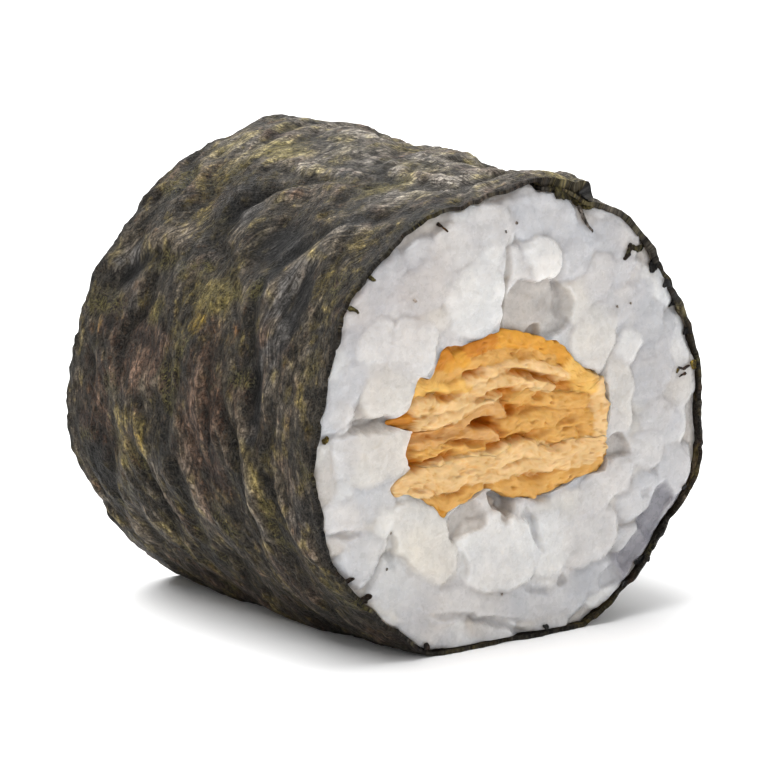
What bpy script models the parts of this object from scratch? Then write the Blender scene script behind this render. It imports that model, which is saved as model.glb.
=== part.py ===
"""One piece of thin sushi roll lying on its side: a nori sheet wrapped once round a ring of
short-grain rice, with three stacked strips of seasoned fried tofu running through the middle.

Metres, +Z up. The roll's middle line runs along Y, the shown cut face looks along -Y, and the
piece stands on the small flat that its own weight has pressed into the wrapper.

Run with: blender --background --python part.py
"""

import math
import random
from dataclasses import dataclass

import bmesh
import bpy
from mathutils import Matrix, Vector

MM = 0.001

# The roll as a whole
ROLL_RADIUS = 15.0 * MM
ROLL_LENGTH = 26.3 * MM
REST_HEIGHT = 14.0 * MM  # from the pressed flat up to the middle line
FAR_GROWTH = 0.48 * MM  # how much larger the radius is at the far end
MIDDLE_GROWTH = 0.16 * MM  # and what is added to that halfway
# Lobes that pull the cross-section out of round: size, waves in a turn, angle of the first crest
LOBES = (
    (0.26 * MM, 1, math.radians(-78)),
    (0.11 * MM, 2, math.radians(-25)),
    (0.09 * MM, 3, math.radians(-10)),
    (0.10 * MM, 4, math.radians(-23)),
    (0.25 * MM, 5, math.radians(-14)),
)
# What comes on top of them at the far end, and halfway along
FAR_LOBES = (
    (0.18 * MM, 1, math.radians(102)),
    (0.29 * MM, 2, math.radians(54)),
    (0.28 * MM, 3, math.radians(-44)),
    (0.23 * MM, 4, math.radians(-5)),
    (0.20 * MM, 5, math.radians(28)),
)
MIDDLE_LOBES = (
    (0.29 * MM, 1, math.radians(-88)),
    (0.15 * MM, 2, math.radians(-84)),
    (0.13 * MM, 3, math.radians(22)),
    (0.10 * MM, 4, math.radians(-6)),
    (0.09 * MM, 5, math.radians(-32)),
)

# The wrapper
NORI_THICKNESS = 0.45 * MM
LAP_END = math.radians(65)  # where the outer end of the sheet stops, seen on the shown face
LAP_SWEEP = math.radians(16)  # how far the sheet runs over its own hidden end
LAP_GAP = 0.15 * MM
LAP_RISE = math.radians(22)  # the sheet climbs onto its hidden end over this angle
LAP_CREST = math.radians(7)  # the outer end is folded double over this one
LAP_LIFT = 0.65 * MM  # and stands up by this at the shown face
LAP_SETTLE = 0.30  # past this share of the length the lap lies flush, with its hidden end sunk instead
SINK_HOLD = math.radians(19)  # the hidden end stays sunk over this angle
SINK_FADE = math.radians(30)  # and comes back up over this one
SINK_STEP = math.radians(9)  # the rice closes the step behind the hidden end over this one
NORI_AROUND = 72
NORI_ALONG = 17
RUFFLE = 0.16 * MM  # how unevenly the knife left the sheet's two rims

# The rice
FIT_GAP = 0.3 * MM  # between touching pieces
CORE_SET_BACK = 0.9 * MM  # the ring's faces lie this far behind the cut, and grains fill it
CORE_AROUND = 48
CORE_STEP = 2 * MM
CORE_INSET = 0.1 * MM  # the ring keeps this far in from where the rim's grains are trimmed
GRAIN_LENGTH = 5.8 * MM
GRAIN_WIDTH = 2.75 * MM
GRAIN_HEIGHT = 2.5 * MM
GRAIN_SEGMENTS = 7
GRAIN_RINGS = 5
GRAINS_TO_A_FACE = 80
GRAIN_TRIES = 9000
GRAIN_SPACING = 0.56  # the least distance between two grains, in grain widths
GRAIN_CLEARANCE = 0.26  # how near the rim or a hollow a grain's line may come, in grain widths
TOFU_CLEARANCE = 0.13  # and how near the tofu
GRAIN_STAND = (-0.15 * MM, 0.25 * MM)  # how far a grain's top passes the cut
STEEPEST_GRAIN = math.radians(68)

# The fried tofu
STRIP_GAP = 0.3 * MM
STRIP_CUTS = (11, 5, 2)  # across, along and up each strip
STRIP_SET_BACK = 0.35 * MM
STRIP_ROUNDING = 0.4  # share of its thickness that a strip loses at its two edges
STRIP_BULGE = 0.5 * MM
FLAKE = 0.22 * MM  # how ragged the strips' cut ends are
CUTTER_OVERRUN = 3 * MM
WELD = 0.01 * MM  # corners closer than this after a union are one
CRISP = math.radians(50)


@dataclass(frozen=True)
class Grain:
    """A rice grain on a cut face: where its middle is, how it lies, and how far it stands out."""

    across: float
    up: float
    turn: float
    tilt: float
    stand: float
    length: float = GRAIN_LENGTH

    def spine(self):
        """Three points along the grain as it is seen on the face."""
        reach = (self.length - GRAIN_WIDTH) / 2 * math.cos(self.tilt)
        step = Vector((math.cos(self.turn), math.sin(self.turn))) * reach
        middle = Vector((self.across, self.up))
        return middle - step, middle, middle + step


@dataclass(frozen=True)
class Border:
    """A curve across the tofu: its height over the middle line, its crest and how it bends and leans."""

    height: float
    crest: float
    bend: float  # drop in a metre of height for a square metre off the crest
    lean: float

    def level(self, across):
        """Height of the curve at a place across the roll."""
        off = across - self.crest
        return self.height + self.lean * across - self.bend * off * off


@dataclass(frozen=True)
class Strip:
    """One strip of fried tofu: its left and right edges, and the curves it lies between."""

    name: str
    left: float
    right: float
    under: Border
    over: Border


def shown_grain(across, up, turn, tilt, stand, length=5.8):
    """A grain that the shown face has, from millimetres and degrees."""
    return Grain(across * MM, up * MM, math.radians(turn), math.radians(tilt), stand * MM, length * MM)


# The grains that stand out on the shown face, about the tofu and at the rim
SHOWN_GRAINS = (
    shown_grain(2.3, 9.9, 20, 60, 0.55),
    shown_grain(-9.6, -1.0, 8, 35, 0.35),
    shown_grain(-6.6, -6.7, -48, 20, 0.30, 6.2),
    shown_grain(-1.7, -8.1, 68, 40, 0.45),
    shown_grain(1.0, -9.0, 5, 25, 0.40),
    shown_grain(8.7, 0.6, 84, 30, 0.10),
    shown_grain(-8.6, 3.1, 25, 35, 0.30),
    shown_grain(-7.4, 6.6, 60, 40, 0.25),
    shown_grain(-3.2, 8.0, 25, 30, 0.25),
    shown_grain(6.0, 4.9, -60, 35, 0.15),
    shown_grain(6.2, -6.4, 20, 25, 0.15),
    shown_grain(12.3, -4.6, 70, 50, 0.20),
    shown_grain(-3.0, -12.0, 20, 45, 0.10),
    shown_grain(10.3, -7.4, 50, 30, -0.20),
)
# Hollows beside the tofu, where no grain fills the gap: across, up, radius
SHOWN_HOLLOWS = (
    (2.0 * MM, 7.0 * MM, 1.5 * MM),
    (-3.4 * MM, -6.0 * MM, 0.9 * MM),
    (8.4 * MM, -2.7 * MM, 0.9 * MM),
    (-10.4 * MM, 1.4 * MM, 0.5 * MM),
)
# A grain that the far cut pushed out past the wrapper, low on the left
LOOSE_GRAIN = shown_grain(-9.6, -9.2, 135, 72, 1.3)

CROWN = Border(5.7 * MM, -0.8 * MM, 45.0, 0.0)
UPPER_SEAM = Border(1.35 * MM, 0.0, 0.0, 0.13)
LOWER_SEAM = Border(-1.75 * MM, 0.0, 5.0, 0.04)
SOLE = Border(-4.95 * MM, 0.0, -18.0, 0.0)
STRIPS = (
    Strip("tofu_strip_top", -7.3 * MM, 6.3 * MM, UPPER_SEAM, CROWN),
    Strip("tofu_strip_middle", -7.8 * MM, 7.3 * MM, LOWER_SEAM, UPPER_SEAM),
    Strip("tofu_strip_bottom", -8.9 * MM, 7.4 * MM, SOLE, LOWER_SEAM),
)


def smooth(share):
    """0 to 1, easing in and out."""
    share = min(1.0, max(0.0, share))
    return share * share * (3 - 2 * share)


def ripple(lobes, angle):
    """Sum of the lobes at an angle."""
    return sum(size * math.cos(waves * (angle - crest)) for size, waves, crest in lobes)


def swell(angle, along):
    """How far the grains beneath push the wrapper out, at an angle round the roll and a place along it."""
    ribs = math.sin(math.tau * along / (4.4 * MM) + 1.3 * math.sin(3 * angle + 0.4))
    ribs *= 0.65 + 0.35 * math.cos(5 * angle + 0.7)
    grains = math.sin(11 * angle + math.tau * along / (9.5 * MM) + 0.9)
    folds = math.sin(4 * angle - math.tau * along / (21 * MM) + 2.1)
    return (0.15 * ribs + 0.13 * grains + 0.10 * folds) * MM


def roll_radius(angle, along):
    """Radius of the wrapper's outer side, without its lap."""
    share = min(1.0, max(0.0, along / ROLL_LENGTH + 0.5))
    far = share * (FAR_GROWTH + ripple(FAR_LOBES, angle))
    middle = 4 * share * (1 - share) * (MIDDLE_GROWTH + ripple(MIDDLE_LOBES, angle))
    return ROLL_RADIUS + ripple(LOBES, angle) + far + middle + swell(angle, along)


def standing(along):
    """How much of the lap stands up on the roll rather than being sunk in it: 1 at the shown face."""
    return smooth(1 - (along / ROLL_LENGTH + 0.5) / LAP_SETTLE)


def sink(turned, along):
    """How deep the sheet lies under its own outer end, at an angle turned from its hidden end."""
    depth = (NORI_THICKNESS + LAP_GAP) * (1 - standing(along))
    if turned < 0:
        return depth * smooth(1 + turned / SINK_STEP)
    return depth * smooth(1 - (turned - SINK_HOLD) / SINK_FADE)


def lap_lift(left_over, along):
    """How far the sheet climbs, with an angle left over before its outer end, and how folded it is."""
    climb = smooth(1 - (left_over - LAP_SWEEP) / LAP_RISE)
    folded = smooth(1.5 * (1 - left_over / LAP_CREST)) * (0.2 + 0.8 * standing(along))
    lift = (NORI_THICKNESS + LAP_GAP) * climb * standing(along) + LAP_LIFT * folded
    return lift, folded


def polar(radius, angle, along):
    """A point at a radius and angle about the middle line. Nothing goes below the pressed flat."""
    return Vector(
        (radius * math.cos(angle), along, max(0.0, REST_HEIGHT + radius * math.sin(angle)))
    )


def add_material(obj, name, colour, roughness):
    """Gives the object a Principled BSDF of one colour."""
    material = bpy.data.materials.new(name)
    material.use_nodes = True
    shader = material.node_tree.nodes["Principled BSDF"]
    shader.inputs["Base Color"].default_value = (*colour, 1.0)
    shader.inputs["Roughness"].default_value = roughness
    shader.inputs["Metallic"].default_value = 0.0
    obj.data.materials.clear()
    obj.data.materials.append(material)


def mesh_object(name, bm, collection):
    """Turns a bmesh into an object of the collection, with its faces looking out."""
    bmesh.ops.recalc_face_normals(bm, faces=bm.faces)
    mesh = bpy.data.meshes.new(name)
    bm.to_mesh(mesh)
    bm.free()
    obj = bpy.data.objects.new(name, mesh)
    collection.objects.link(obj)
    return obj


def new_collection(name):
    """A new collection in the scene."""
    collection = bpy.data.collections.new(name)
    bpy.context.scene.collection.children.link(collection)
    return collection


def round_off(mesh):
    """Shades a mesh smooth, with its cut edges left crisp."""
    mesh.shade_smooth()
    mesh.set_sharp_from_angle(angle=CRISP)


def freeze(obj):
    """Applies the object's modifiers."""
    bpy.context.view_layer.update()
    evaluated = obj.evaluated_get(bpy.context.evaluated_depsgraph_get())
    solid = bpy.data.meshes.new_from_object(evaluated)
    obj.modifiers.clear()
    obj.data = solid
    round_off(solid)


def build_nori(parts):
    """The wrapper: a flat sheet rolled clockwise from its hidden end, then given its thickness."""
    sweep = math.tau + LAP_SWEEP
    hidden_end = LAP_END + LAP_SWEEP
    weights = []
    bm = bmesh.new()
    bmesh.ops.create_grid(bm, x_segments=NORI_AROUND, y_segments=NORI_ALONG, size=0.5)
    for vert in bm.verts:
        turned = (vert.co.x + 0.5) * sweep
        angle = hidden_end - turned
        ruffle = RUFFLE * (math.sin(17 * angle + 0.5) + 0.6 * math.sin(29 * angle))
        along = vert.co.y * (ROLL_LENGTH + 2 * ruffle)
        lift, folded = lap_lift(sweep - turned, along)
        weights.append(folded)
        vert.co = polar(roll_radius(angle, along) - sink(turned, along) + lift, angle, along)
    mesh = bpy.data.meshes.new("nori")
    bm.to_mesh(mesh)
    bm.free()
    nori = bpy.data.objects.new("nori", mesh)
    parts.objects.link(nori)
    doubled = nori.vertex_groups.new(name="folded double")
    for index, weight in enumerate(weights):
        doubled.add([index], weight, "REPLACE")
    wall = nori.modifiers.new("sheet", "SOLIDIFY")
    wall.thickness = 2 * NORI_THICKNESS
    wall.thickness_vertex_group = 0.5
    wall.vertex_group = doubled.name
    wall.offset = -1.0
    freeze(nori)
    add_material(nori, "nori", (0.055, 0.055, 0.045), 0.45)


def core_radius(angle, along):
    """Radius of the rice inside the wrapper."""
    turned = (LAP_END + LAP_SWEEP - angle + math.pi) % math.tau - math.pi
    return roll_radius(angle, along) - NORI_THICKNESS - FIT_GAP - sink(turned, along)


def build_core(name, length, inset, collection):
    """A solid that fills the wrapper over a length of it, drawn in all round by the inset."""
    bm = bmesh.new()
    bmesh.ops.create_circle(bm, cap_ends=True, segments=CORE_AROUND, radius=ROLL_RADIUS)
    bmesh.ops.rotate(bm, cent=(0, 0, 0), matrix=Matrix.Rotation(math.pi / 2, 3, "X"), verts=bm.verts)
    bmesh.ops.translate(bm, vec=(0, -length / 2, 0), verts=bm.verts)
    section = list(bm.faces)
    steps = round(length / CORE_STEP)
    for _ in range(steps):
        grown = bmesh.ops.extrude_face_region(bm, geom=section)["geom"]
        section = [item for item in grown if isinstance(item, bmesh.types.BMFace)]
        rim = [item for item in grown if isinstance(item, bmesh.types.BMVert)]
        bmesh.ops.translate(bm, vec=(0, length / steps, 0), verts=rim)
    inner = [face for face in bm.faces if all(len(edge.link_faces) > 2 for edge in face.edges)]
    bmesh.ops.delete(bm, geom=inner, context="FACES_ONLY")
    lowest = NORI_THICKNESS + FIT_GAP
    for vert in bm.verts:
        angle = math.atan2(vert.co.z, vert.co.x)
        vert.co = polar(core_radius(angle, vert.co.y) - inset, angle, vert.co.y)
        vert.co.z = max(vert.co.z, lowest + inset)
    return mesh_object(name, bm, collection)


def strip_point(strip, share, grow=0.0):
    """Where a point of a unit cube lands on a strip. Grow moves the strip's skin out by that much."""
    across, along, up = share
    place = (2 * along - 1) * (ROLL_LENGTH / 2 - STRIP_SET_BACK)
    drift = math.sin(math.tau * place / (31 * MM) + 1.1)
    side = strip.left + (strip.right - strip.left) * across
    wave = 0.2 * MM * math.sin(math.tau * side / (4.7 * MM) + math.tau * place / (15 * MM))
    under = strip.under.level(side) + STRIP_GAP / 2
    over = strip.over.level(side) - STRIP_GAP / 2
    middle = (under + over) / 2
    half = (over - under) / 2 * (1 - STRIP_ROUNDING * (2 * across - 1) ** 6) + grow
    bulge = STRIP_BULGE * (1 - (2 * up - 1) ** 2) + grow
    side += bulge * (2 * across - 1) ** 9 + 0.35 * MM * drift
    height = middle + half * (2 * up - 1) + wave + 0.25 * MM * drift
    if grow and along in (0.0, 1.0):
        place += math.copysign(CUTTER_OVERRUN, place)
    return Vector((side, place, REST_HEIGHT + height))


def strip_block(strip, grow=0.0):
    """A cube divided along its three axes and bent to the strip."""
    bm = bmesh.new()
    bmesh.ops.create_cube(bm, size=1.0)
    for axis, count in enumerate(STRIP_CUTS):
        lines = [
            edge
            for edge in bm.edges
            if abs(edge.verts[0].co[axis] - edge.verts[1].co[axis]) > 0.5
        ]
        bmesh.ops.subdivide_edges(bm, edges=lines, cuts=count, use_grid_fill=True)
    for vert in bm.verts:
        share = vert.co + Vector((0.5, 0.5, 0.5))
        vert.co = strip_point(strip, share, grow)
    return bm


def build_strip(strip, parts, draw):
    """A strip of fried tofu with ragged cut ends."""
    bm = strip_block(strip)
    end = ROLL_LENGTH / 2 - STRIP_SET_BACK
    for vert in bm.verts:
        if abs(abs(vert.co.y) - end) < 0.01 * MM:
            vert.co.y += draw.uniform(-FLAKE, FLAKE)
    piece = mesh_object(strip.name, bm, parts)
    add_material(piece, strip.name, (0.72, 0.42, 0.14), 0.6)


def in_the_rice(point, hollows):
    """Whether a point of a face lies in the rice, clear of the wrapper, the hollows and the tofu."""
    clear = GRAIN_CLEARANCE * GRAIN_WIDTH
    rim = core_radius(math.atan2(point.y, point.x), -ROLL_LENGTH / 2)
    lowest = NORI_THICKNESS + FIT_GAP - REST_HEIGHT
    if point.length > rim - clear or point.y < lowest + clear:
        return False
    for across, up, radius in hollows:
        if math.hypot(point.x - across, point.y - up) < radius + clear:
            return False
    clear = TOFU_CLEARANCE * GRAIN_WIDTH
    for strip in STRIPS:
        beside = strip.left - clear < point.x < strip.right + clear
        above = point.y > strip.under.level(point.x) - clear
        below = point.y < strip.over.level(point.x) + clear
        if beside and above and below:
            return False
    return True


def fill_face(first, hollows, draw):
    """Grains over a face: the ones given, then more wherever a random one fits between them."""
    grains = list(first)
    taken = [point for grain in grains for point in grain.spine()]
    for _ in range(GRAIN_TRIES):
        if len(grains) >= GRAINS_TO_A_FACE:
            break
        radius = ROLL_RADIUS * math.sqrt(draw.random())
        angle = draw.uniform(0, math.tau)
        grain = Grain(
            across=radius * math.cos(angle),
            up=radius * math.sin(angle),
            turn=draw.uniform(0, math.pi),
            tilt=draw.uniform(0, STEEPEST_GRAIN),
            stand=draw.uniform(*GRAIN_STAND),
            length=GRAIN_LENGTH * draw.uniform(0.9, 1.08),
        )
        spine = grain.spine()
        if not all(in_the_rice(point, hollows) for point in spine):
            continue
        if any((a - b).length < GRAIN_SPACING * GRAIN_WIDTH for a in spine for b in taken):
            continue
        grains.append(grain)
        taken.extend(spine)
    return grains


def build_grain(name, grain, facing, collection):
    """A grain as a stretched sphere. Facing is -1 on the shown face and +1 on the far one."""
    bm = bmesh.new()
    bmesh.ops.create_uvsphere(bm, u_segments=GRAIN_SEGMENTS, v_segments=GRAIN_RINGS, radius=0.5)
    size = Matrix.Diagonal((GRAIN_WIDTH, GRAIN_HEIGHT, grain.length, 1.0))
    lay = Matrix.Rotation(math.pi / 2 - grain.tilt, 4, "X")
    spin = Matrix.Rotation(math.pi / 2 + grain.turn, 4, "Z")
    stand_up = Matrix.Rotation(math.pi / 2, 4, "X")
    if facing > 0:
        stand_up = Matrix.Rotation(math.pi, 4, "Z") @ stand_up
    bm.transform(stand_up @ spin @ lay @ size)
    top = max(vert.co.y * facing for vert in bm.verts)
    depth = facing * (ROLL_LENGTH / 2 + grain.stand - top)
    bm.transform(Matrix.Translation((grain.across, depth, REST_HEIGHT + grain.up)))
    return mesh_object(name, bm, collection)


def keep_largest_shell(obj):
    """Drops sealed hollows and loose scraps that a union leaves, keeping the one outer skin."""
    bm = bmesh.new()
    bm.from_mesh(obj.data)
    bmesh.ops.triangulate(bm, faces=bm.faces)
    bmesh.ops.remove_doubles(bm, verts=bm.verts, dist=WELD)
    bmesh.ops.dissolve_degenerate(bm, edges=bm.edges, dist=WELD)
    left = set(bm.faces)
    shells = []
    while left:
        shell = set()
        front = [left.pop()]
        while front:
            face = front.pop()
            shell.add(face)
            pairs = [line.link_faces for line in face.edges if len(line.link_faces) == 2]
            near = {other for pair in pairs for other in pair} & left
            left -= near
            front.extend(near)
        shells.append(shell)
    widest = max(shells, key=len)
    scraps = [face for shell in shells if shell is not widest for face in shell]
    bmesh.ops.delete(bm, geom=scraps, context="FACES")
    bm.to_mesh(obj.data)
    bm.free()
    round_off(obj.data)


def build_rice(parts, draw):
    """The ring, the grains on both faces fused on, and the channel that the tofu fills."""
    rice = build_core("rice", ROLL_LENGTH - 2 * CORE_SET_BACK, CORE_INSET, parts)
    heap = new_collection("rice grains")
    bore = new_collection("wrapper bore")
    channel = new_collection("tofu channel")
    build_core("cutter_bore", ROLL_LENGTH + 2 * CUTTER_OVERRUN, 0.0, bore)
    front = fill_face(SHOWN_GRAINS, SHOWN_HOLLOWS, draw)
    back = [*fill_face((), (), draw), LOOSE_GRAIN]
    for facing, grains in ((-1, front), (1, back)):
        for index, grain in enumerate(grains):
            build_grain(f"grain_{facing}_{index}", grain, facing, heap)
    for strip in STRIPS:
        mesh_object(f"cutter_{strip.name}", strip_block(strip, grow=FIT_GAP), channel)
    for name, operation, others in (
        ("grains", "UNION", heap),
        ("bore", "INTERSECT", bore),
        ("channel", "DIFFERENCE", channel),
    ):
        join = rice.modifiers.new(name, "BOOLEAN")
        join.operation = operation
        join.operand_type = "COLLECTION"
        join.collection = others
        join.solver = "EXACT"
    freeze(rice)
    for collection in (heap, bore, channel):
        for obj in list(collection.objects):
            bpy.data.objects.remove(obj)
        bpy.data.collections.remove(collection)
    keep_largest_shell(rice)
    add_material(rice, "rice", (0.80, 0.79, 0.77), 0.4)


def main():
    """Clears the scene and builds the piece."""
    for obj in list(bpy.data.objects):
        bpy.data.objects.remove(obj)
    draw = random.Random(7)
    parts = new_collection("inari hosomaki")
    build_nori(parts)
    build_rice(parts, draw)
    for strip in STRIPS:
        build_strip(strip, parts, draw)


main()
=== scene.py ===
"""The looks of one piece of inari hosomaki: a nori sheet rolled round short-grain rice, with three
strips of seasoned fried tofu in the middle.

Metres, +Z up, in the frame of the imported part: the roll's middle line runs along Y and the shown
cut face looks along -Y. Sizes are written in millimetres times MM, and angles round the roll are
counted from +X, counter-clockwise as seen from the shown face.
"""

import logging
import math
from collections.abc import Sequence
from dataclasses import dataclass, field
from enum import Enum

import bpy
import numpy as np
from mathutils import Matrix, Vector


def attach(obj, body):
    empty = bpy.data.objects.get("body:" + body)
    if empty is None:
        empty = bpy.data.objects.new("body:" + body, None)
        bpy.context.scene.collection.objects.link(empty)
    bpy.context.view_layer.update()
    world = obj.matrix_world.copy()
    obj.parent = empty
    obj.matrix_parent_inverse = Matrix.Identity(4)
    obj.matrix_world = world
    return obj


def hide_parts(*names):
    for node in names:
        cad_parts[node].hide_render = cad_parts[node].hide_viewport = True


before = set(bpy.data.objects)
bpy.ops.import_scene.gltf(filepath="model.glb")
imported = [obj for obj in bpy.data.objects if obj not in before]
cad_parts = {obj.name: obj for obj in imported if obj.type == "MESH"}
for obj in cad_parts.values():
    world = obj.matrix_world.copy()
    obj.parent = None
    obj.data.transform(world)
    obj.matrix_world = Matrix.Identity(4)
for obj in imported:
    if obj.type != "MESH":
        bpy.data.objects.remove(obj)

LOG = logging.getLogger("inari hosomaki")
MM = 0.001
TAU = math.tau
UV_PER_MM = 0.01
BODY = "root"
Array = np.ndarray
Colour = tuple[float, float, float]


class End(Enum):
    """The two cut faces, as the direction in which each looks along Y."""

    SHOWN = -1
    FAR = 1


class Weed(Enum):
    """What a patch of the nori is coloured by, as linear colours, one of them a painted sheen."""

    PLAIN = (0.031, 0.027, 0.0215)
    OLIVE = (0.088, 0.074, 0.025)
    YELLOW = (0.230, 0.165, 0.032)
    RUST = (0.200, 0.088, 0.026)
    BROWN = (0.040, 0.024, 0.0170)
    CHARCOAL = (0.021, 0.022, 0.025)
    # Painted sheen: the pale grey where light catches the sheet
    PAINTED_SHEEN = (0.090, 0.085, 0.079)
    SPECK = (0.200, 0.170, 0.150)


class Starch(Enum):
    """The cast of a rice grain, as linear colours; some are darkened by painted shade, for grains and
    gaps that lie deep.
    """

    BRIGHT = (0.61, 0.595, 0.575)
    PLAIN = (0.525, 0.505, 0.49)
    CREAM = (0.565, 0.535, 0.495)
    # Partly painted shade: the bed and the grains that lie deep
    WARM_SHADED = (0.47, 0.43, 0.39)
    COOL = (0.48, 0.475, 0.48)
    # Partly painted shade: grains that lie a little deep near the rim
    GREY_SHADED = (0.435, 0.43, 0.435)
    # Painted shade for recesses, and deeper painted shade for the gaps by the rim at the lower right
    SHADE = (0.46, 0.425, 0.39)
    SLATE_SHADE = (0.22, 0.213, 0.235)


class Curd(Enum):
    """The colours of fried tofu, as linear colours."""

    CREAM = (0.71, 0.49, 0.245)
    YELLOW = (0.73, 0.45, 0.130)
    TAN = (0.62, 0.35, 0.100)
    PINK = (0.58, 0.33, 0.125)
    SKIN = (0.62, 0.30, 0.038)
    DEEP = (0.50, 0.19, 0.015)


def ease(share: Array) -> Array:
    """Takes 0 to 1 into 0 to 1 with soft ends, and cuts off what lies outside.

    Args:
        share: Values, 0 at the start of the change and 1 at its end.

    Returns:
        The eased values.
    """
    share = np.clip(share, 0.0, 1.0)
    return share * share * (3 - 2 * share)


def slope_off(distance: Array, roundness: float) -> Array:
    """0 well inside an edge and the distance itself well past it, with a rounded corner.

    Args:
        distance: How far past the edge each point lies, negative inside.
        roundness: Over what distance the corner is rounded.

    Returns:
        The drop for a wall that falls one for one.
    """
    return roundness * np.logaddexp(0.0, distance / roundness)


def off_line(line: Sequence[tuple[float, float]], across: Array, up: Array
             ) -> tuple[Array, Array, Array]:
    """Measures points against a bent line.

    Args:
        line: The line's knots, two coordinates each.
        across: First coordinate of each point.
        up: Second coordinate.

    Returns:
        How far off the line each point lies, 1 where that is to its left and -1 to its right, and
        how far along the line's knots it lies, 0 to 1.
    """
    near = np.full(across.shape, 1e9)
    side = np.zeros(across.shape)
    walk = np.zeros(across.shape)
    for number, ((x0, y0), (x1, y1)) in enumerate(zip(line, line[1:])):
        run = (x1 - x0) ** 2 + (y1 - y0) ** 2
        share = np.clip(((across - x0) * (x1 - x0) + (up - y0) * (y1 - y0)) / run, 0, 1)
        right = across - x0 - share * (x1 - x0)
        over = up - y0 - share * (y1 - y0)
        off = np.hypot(right, over)
        closer = off < near
        near = np.where(closer, off, near)
        side = np.where(closer, np.sign((x1 - x0) * over - (y1 - y0) * right), side)
        walk = np.where(closer, (number + share) / (len(line) - 1), walk)
    return near, side, walk


@dataclass(frozen=True)
class Noise:
    """Smooth noise over a plane, the same each time for one seed."""

    seed: int
    octaves: int = 1

    def _layer(self, across: Array, along: Array, octave: int) -> Array:
        """One size of the noise.

        Args:
            across: First coordinate, one lattice cell to a unit.
            along: Second coordinate.
            octave: Which layer this is, so that no two are alike.

        Returns:
            Values of about -0.7 to 0.7.
        """
        column = np.floor(across).astype(np.int64)
        row = np.floor(along).astype(np.int64)
        right = across - column
        up = along - row
        salt = self.seed * 83492791 + octave * 40503
        corners = []
        for step_right, step_up in ((0, 0), (1, 0), (0, 1), (1, 1)):
            key = (column + step_right) * 73856093 ^ (row + step_up) * 19349663 ^ salt
            key = ((key ^ (key >> 13)) * 1274126177) & 0xFFFFFFFF
            turn = ((key ^ (key >> 15)) & 0xFFFF) * (TAU / 65536)
            corners.append(np.cos(turn) * (right - step_right) + np.sin(turn) * (up - step_up))
        blend_right = right * right * right * (right * (right * 6 - 15) + 10)
        blend_up = up * up * up * (up * (up * 6 - 15) + 10)
        low = corners[0] + (corners[1] - corners[0]) * blend_right
        high = corners[2] + (corners[3] - corners[2]) * blend_right
        return low + (high - low) * blend_up

    def at(self, across: Array, along: Array) -> Array:
        """The noise at points of a plane.

        Args:
            across: First coordinate, one lattice cell to a unit.
            along: Second coordinate.

        Returns:
            Values of about -1 to 1.
        """
        total = np.zeros(np.broadcast(across, along).shape)
        weight = 0.0
        for octave in range(self.octaves):
            size = 0.5**octave
            total += size * self._layer(across * 2**octave, along * 2**octave, octave)
            weight += size
        return total * 1.5 / weight


def shards(seed: int, across: Array, up: Array) -> tuple[Array, Array]:
    """Small flat facets, each tilted its own way, as where a grain broke along its cells.

    Args:
        seed: Which set of facets.
        across: First coordinate, about one facet to a unit.
        up: Second coordinate.

    Returns:
        The facets' height, about -1 to 1, and a shade for each facet, -1 to 1.
    """
    nearest = np.full(across.shape, 1e9)
    height = np.zeros(across.shape)
    shade = np.zeros(across.shape)
    column = np.floor(across).astype(np.int64)
    row = np.floor(up).astype(np.int64)
    for step in range(9):
        mine = column + step % 3 - 1
        line = row + step // 3 - 1
        key = ((mine * 73856093) ^ (line * 19349663) ^ (seed * 83492791)) & 0xFFFFFFFF
        key = ((key ^ (key >> 13)) * 1274126177) & 0xFFFFFFFF
        parts = [((key >> shift) & 0xFF) / 255.0 for shift in (2, 9, 17, 24)]
        off_across = across - (mine + 0.15 + 0.7 * parts[0])
        off_up = up - (line + 0.15 + 0.7 * parts[1])
        off = np.hypot(off_across, off_up)
        closer = off < nearest
        nearest = np.where(closer, off, nearest)
        tilt = TAU * parts[2]
        plane = off_across * np.cos(tilt) + off_up * np.sin(tilt) + (parts[3] - 0.5)
        height = np.where(closer, plane, height)
        shade = np.where(closer, 2 * parts[3] - 1, shade)
    return height, shade


@dataclass(frozen=True)
class Lobe:
    """A wave that pulls the roll's section out of round."""

    size: float
    waves: int
    crest: float


def lobes(*rows: tuple[float, int, float]) -> tuple[Lobe, ...]:
    """Lobes from millimetres, waves in a turn and the degrees of the first crest.

    Args:
        rows: One size, count and angle for each lobe.

    Returns:
        The lobes in metres and radians.
    """
    return tuple(Lobe(size * MM, waves, math.radians(crest)) for size, waves, crest in rows)


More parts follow.
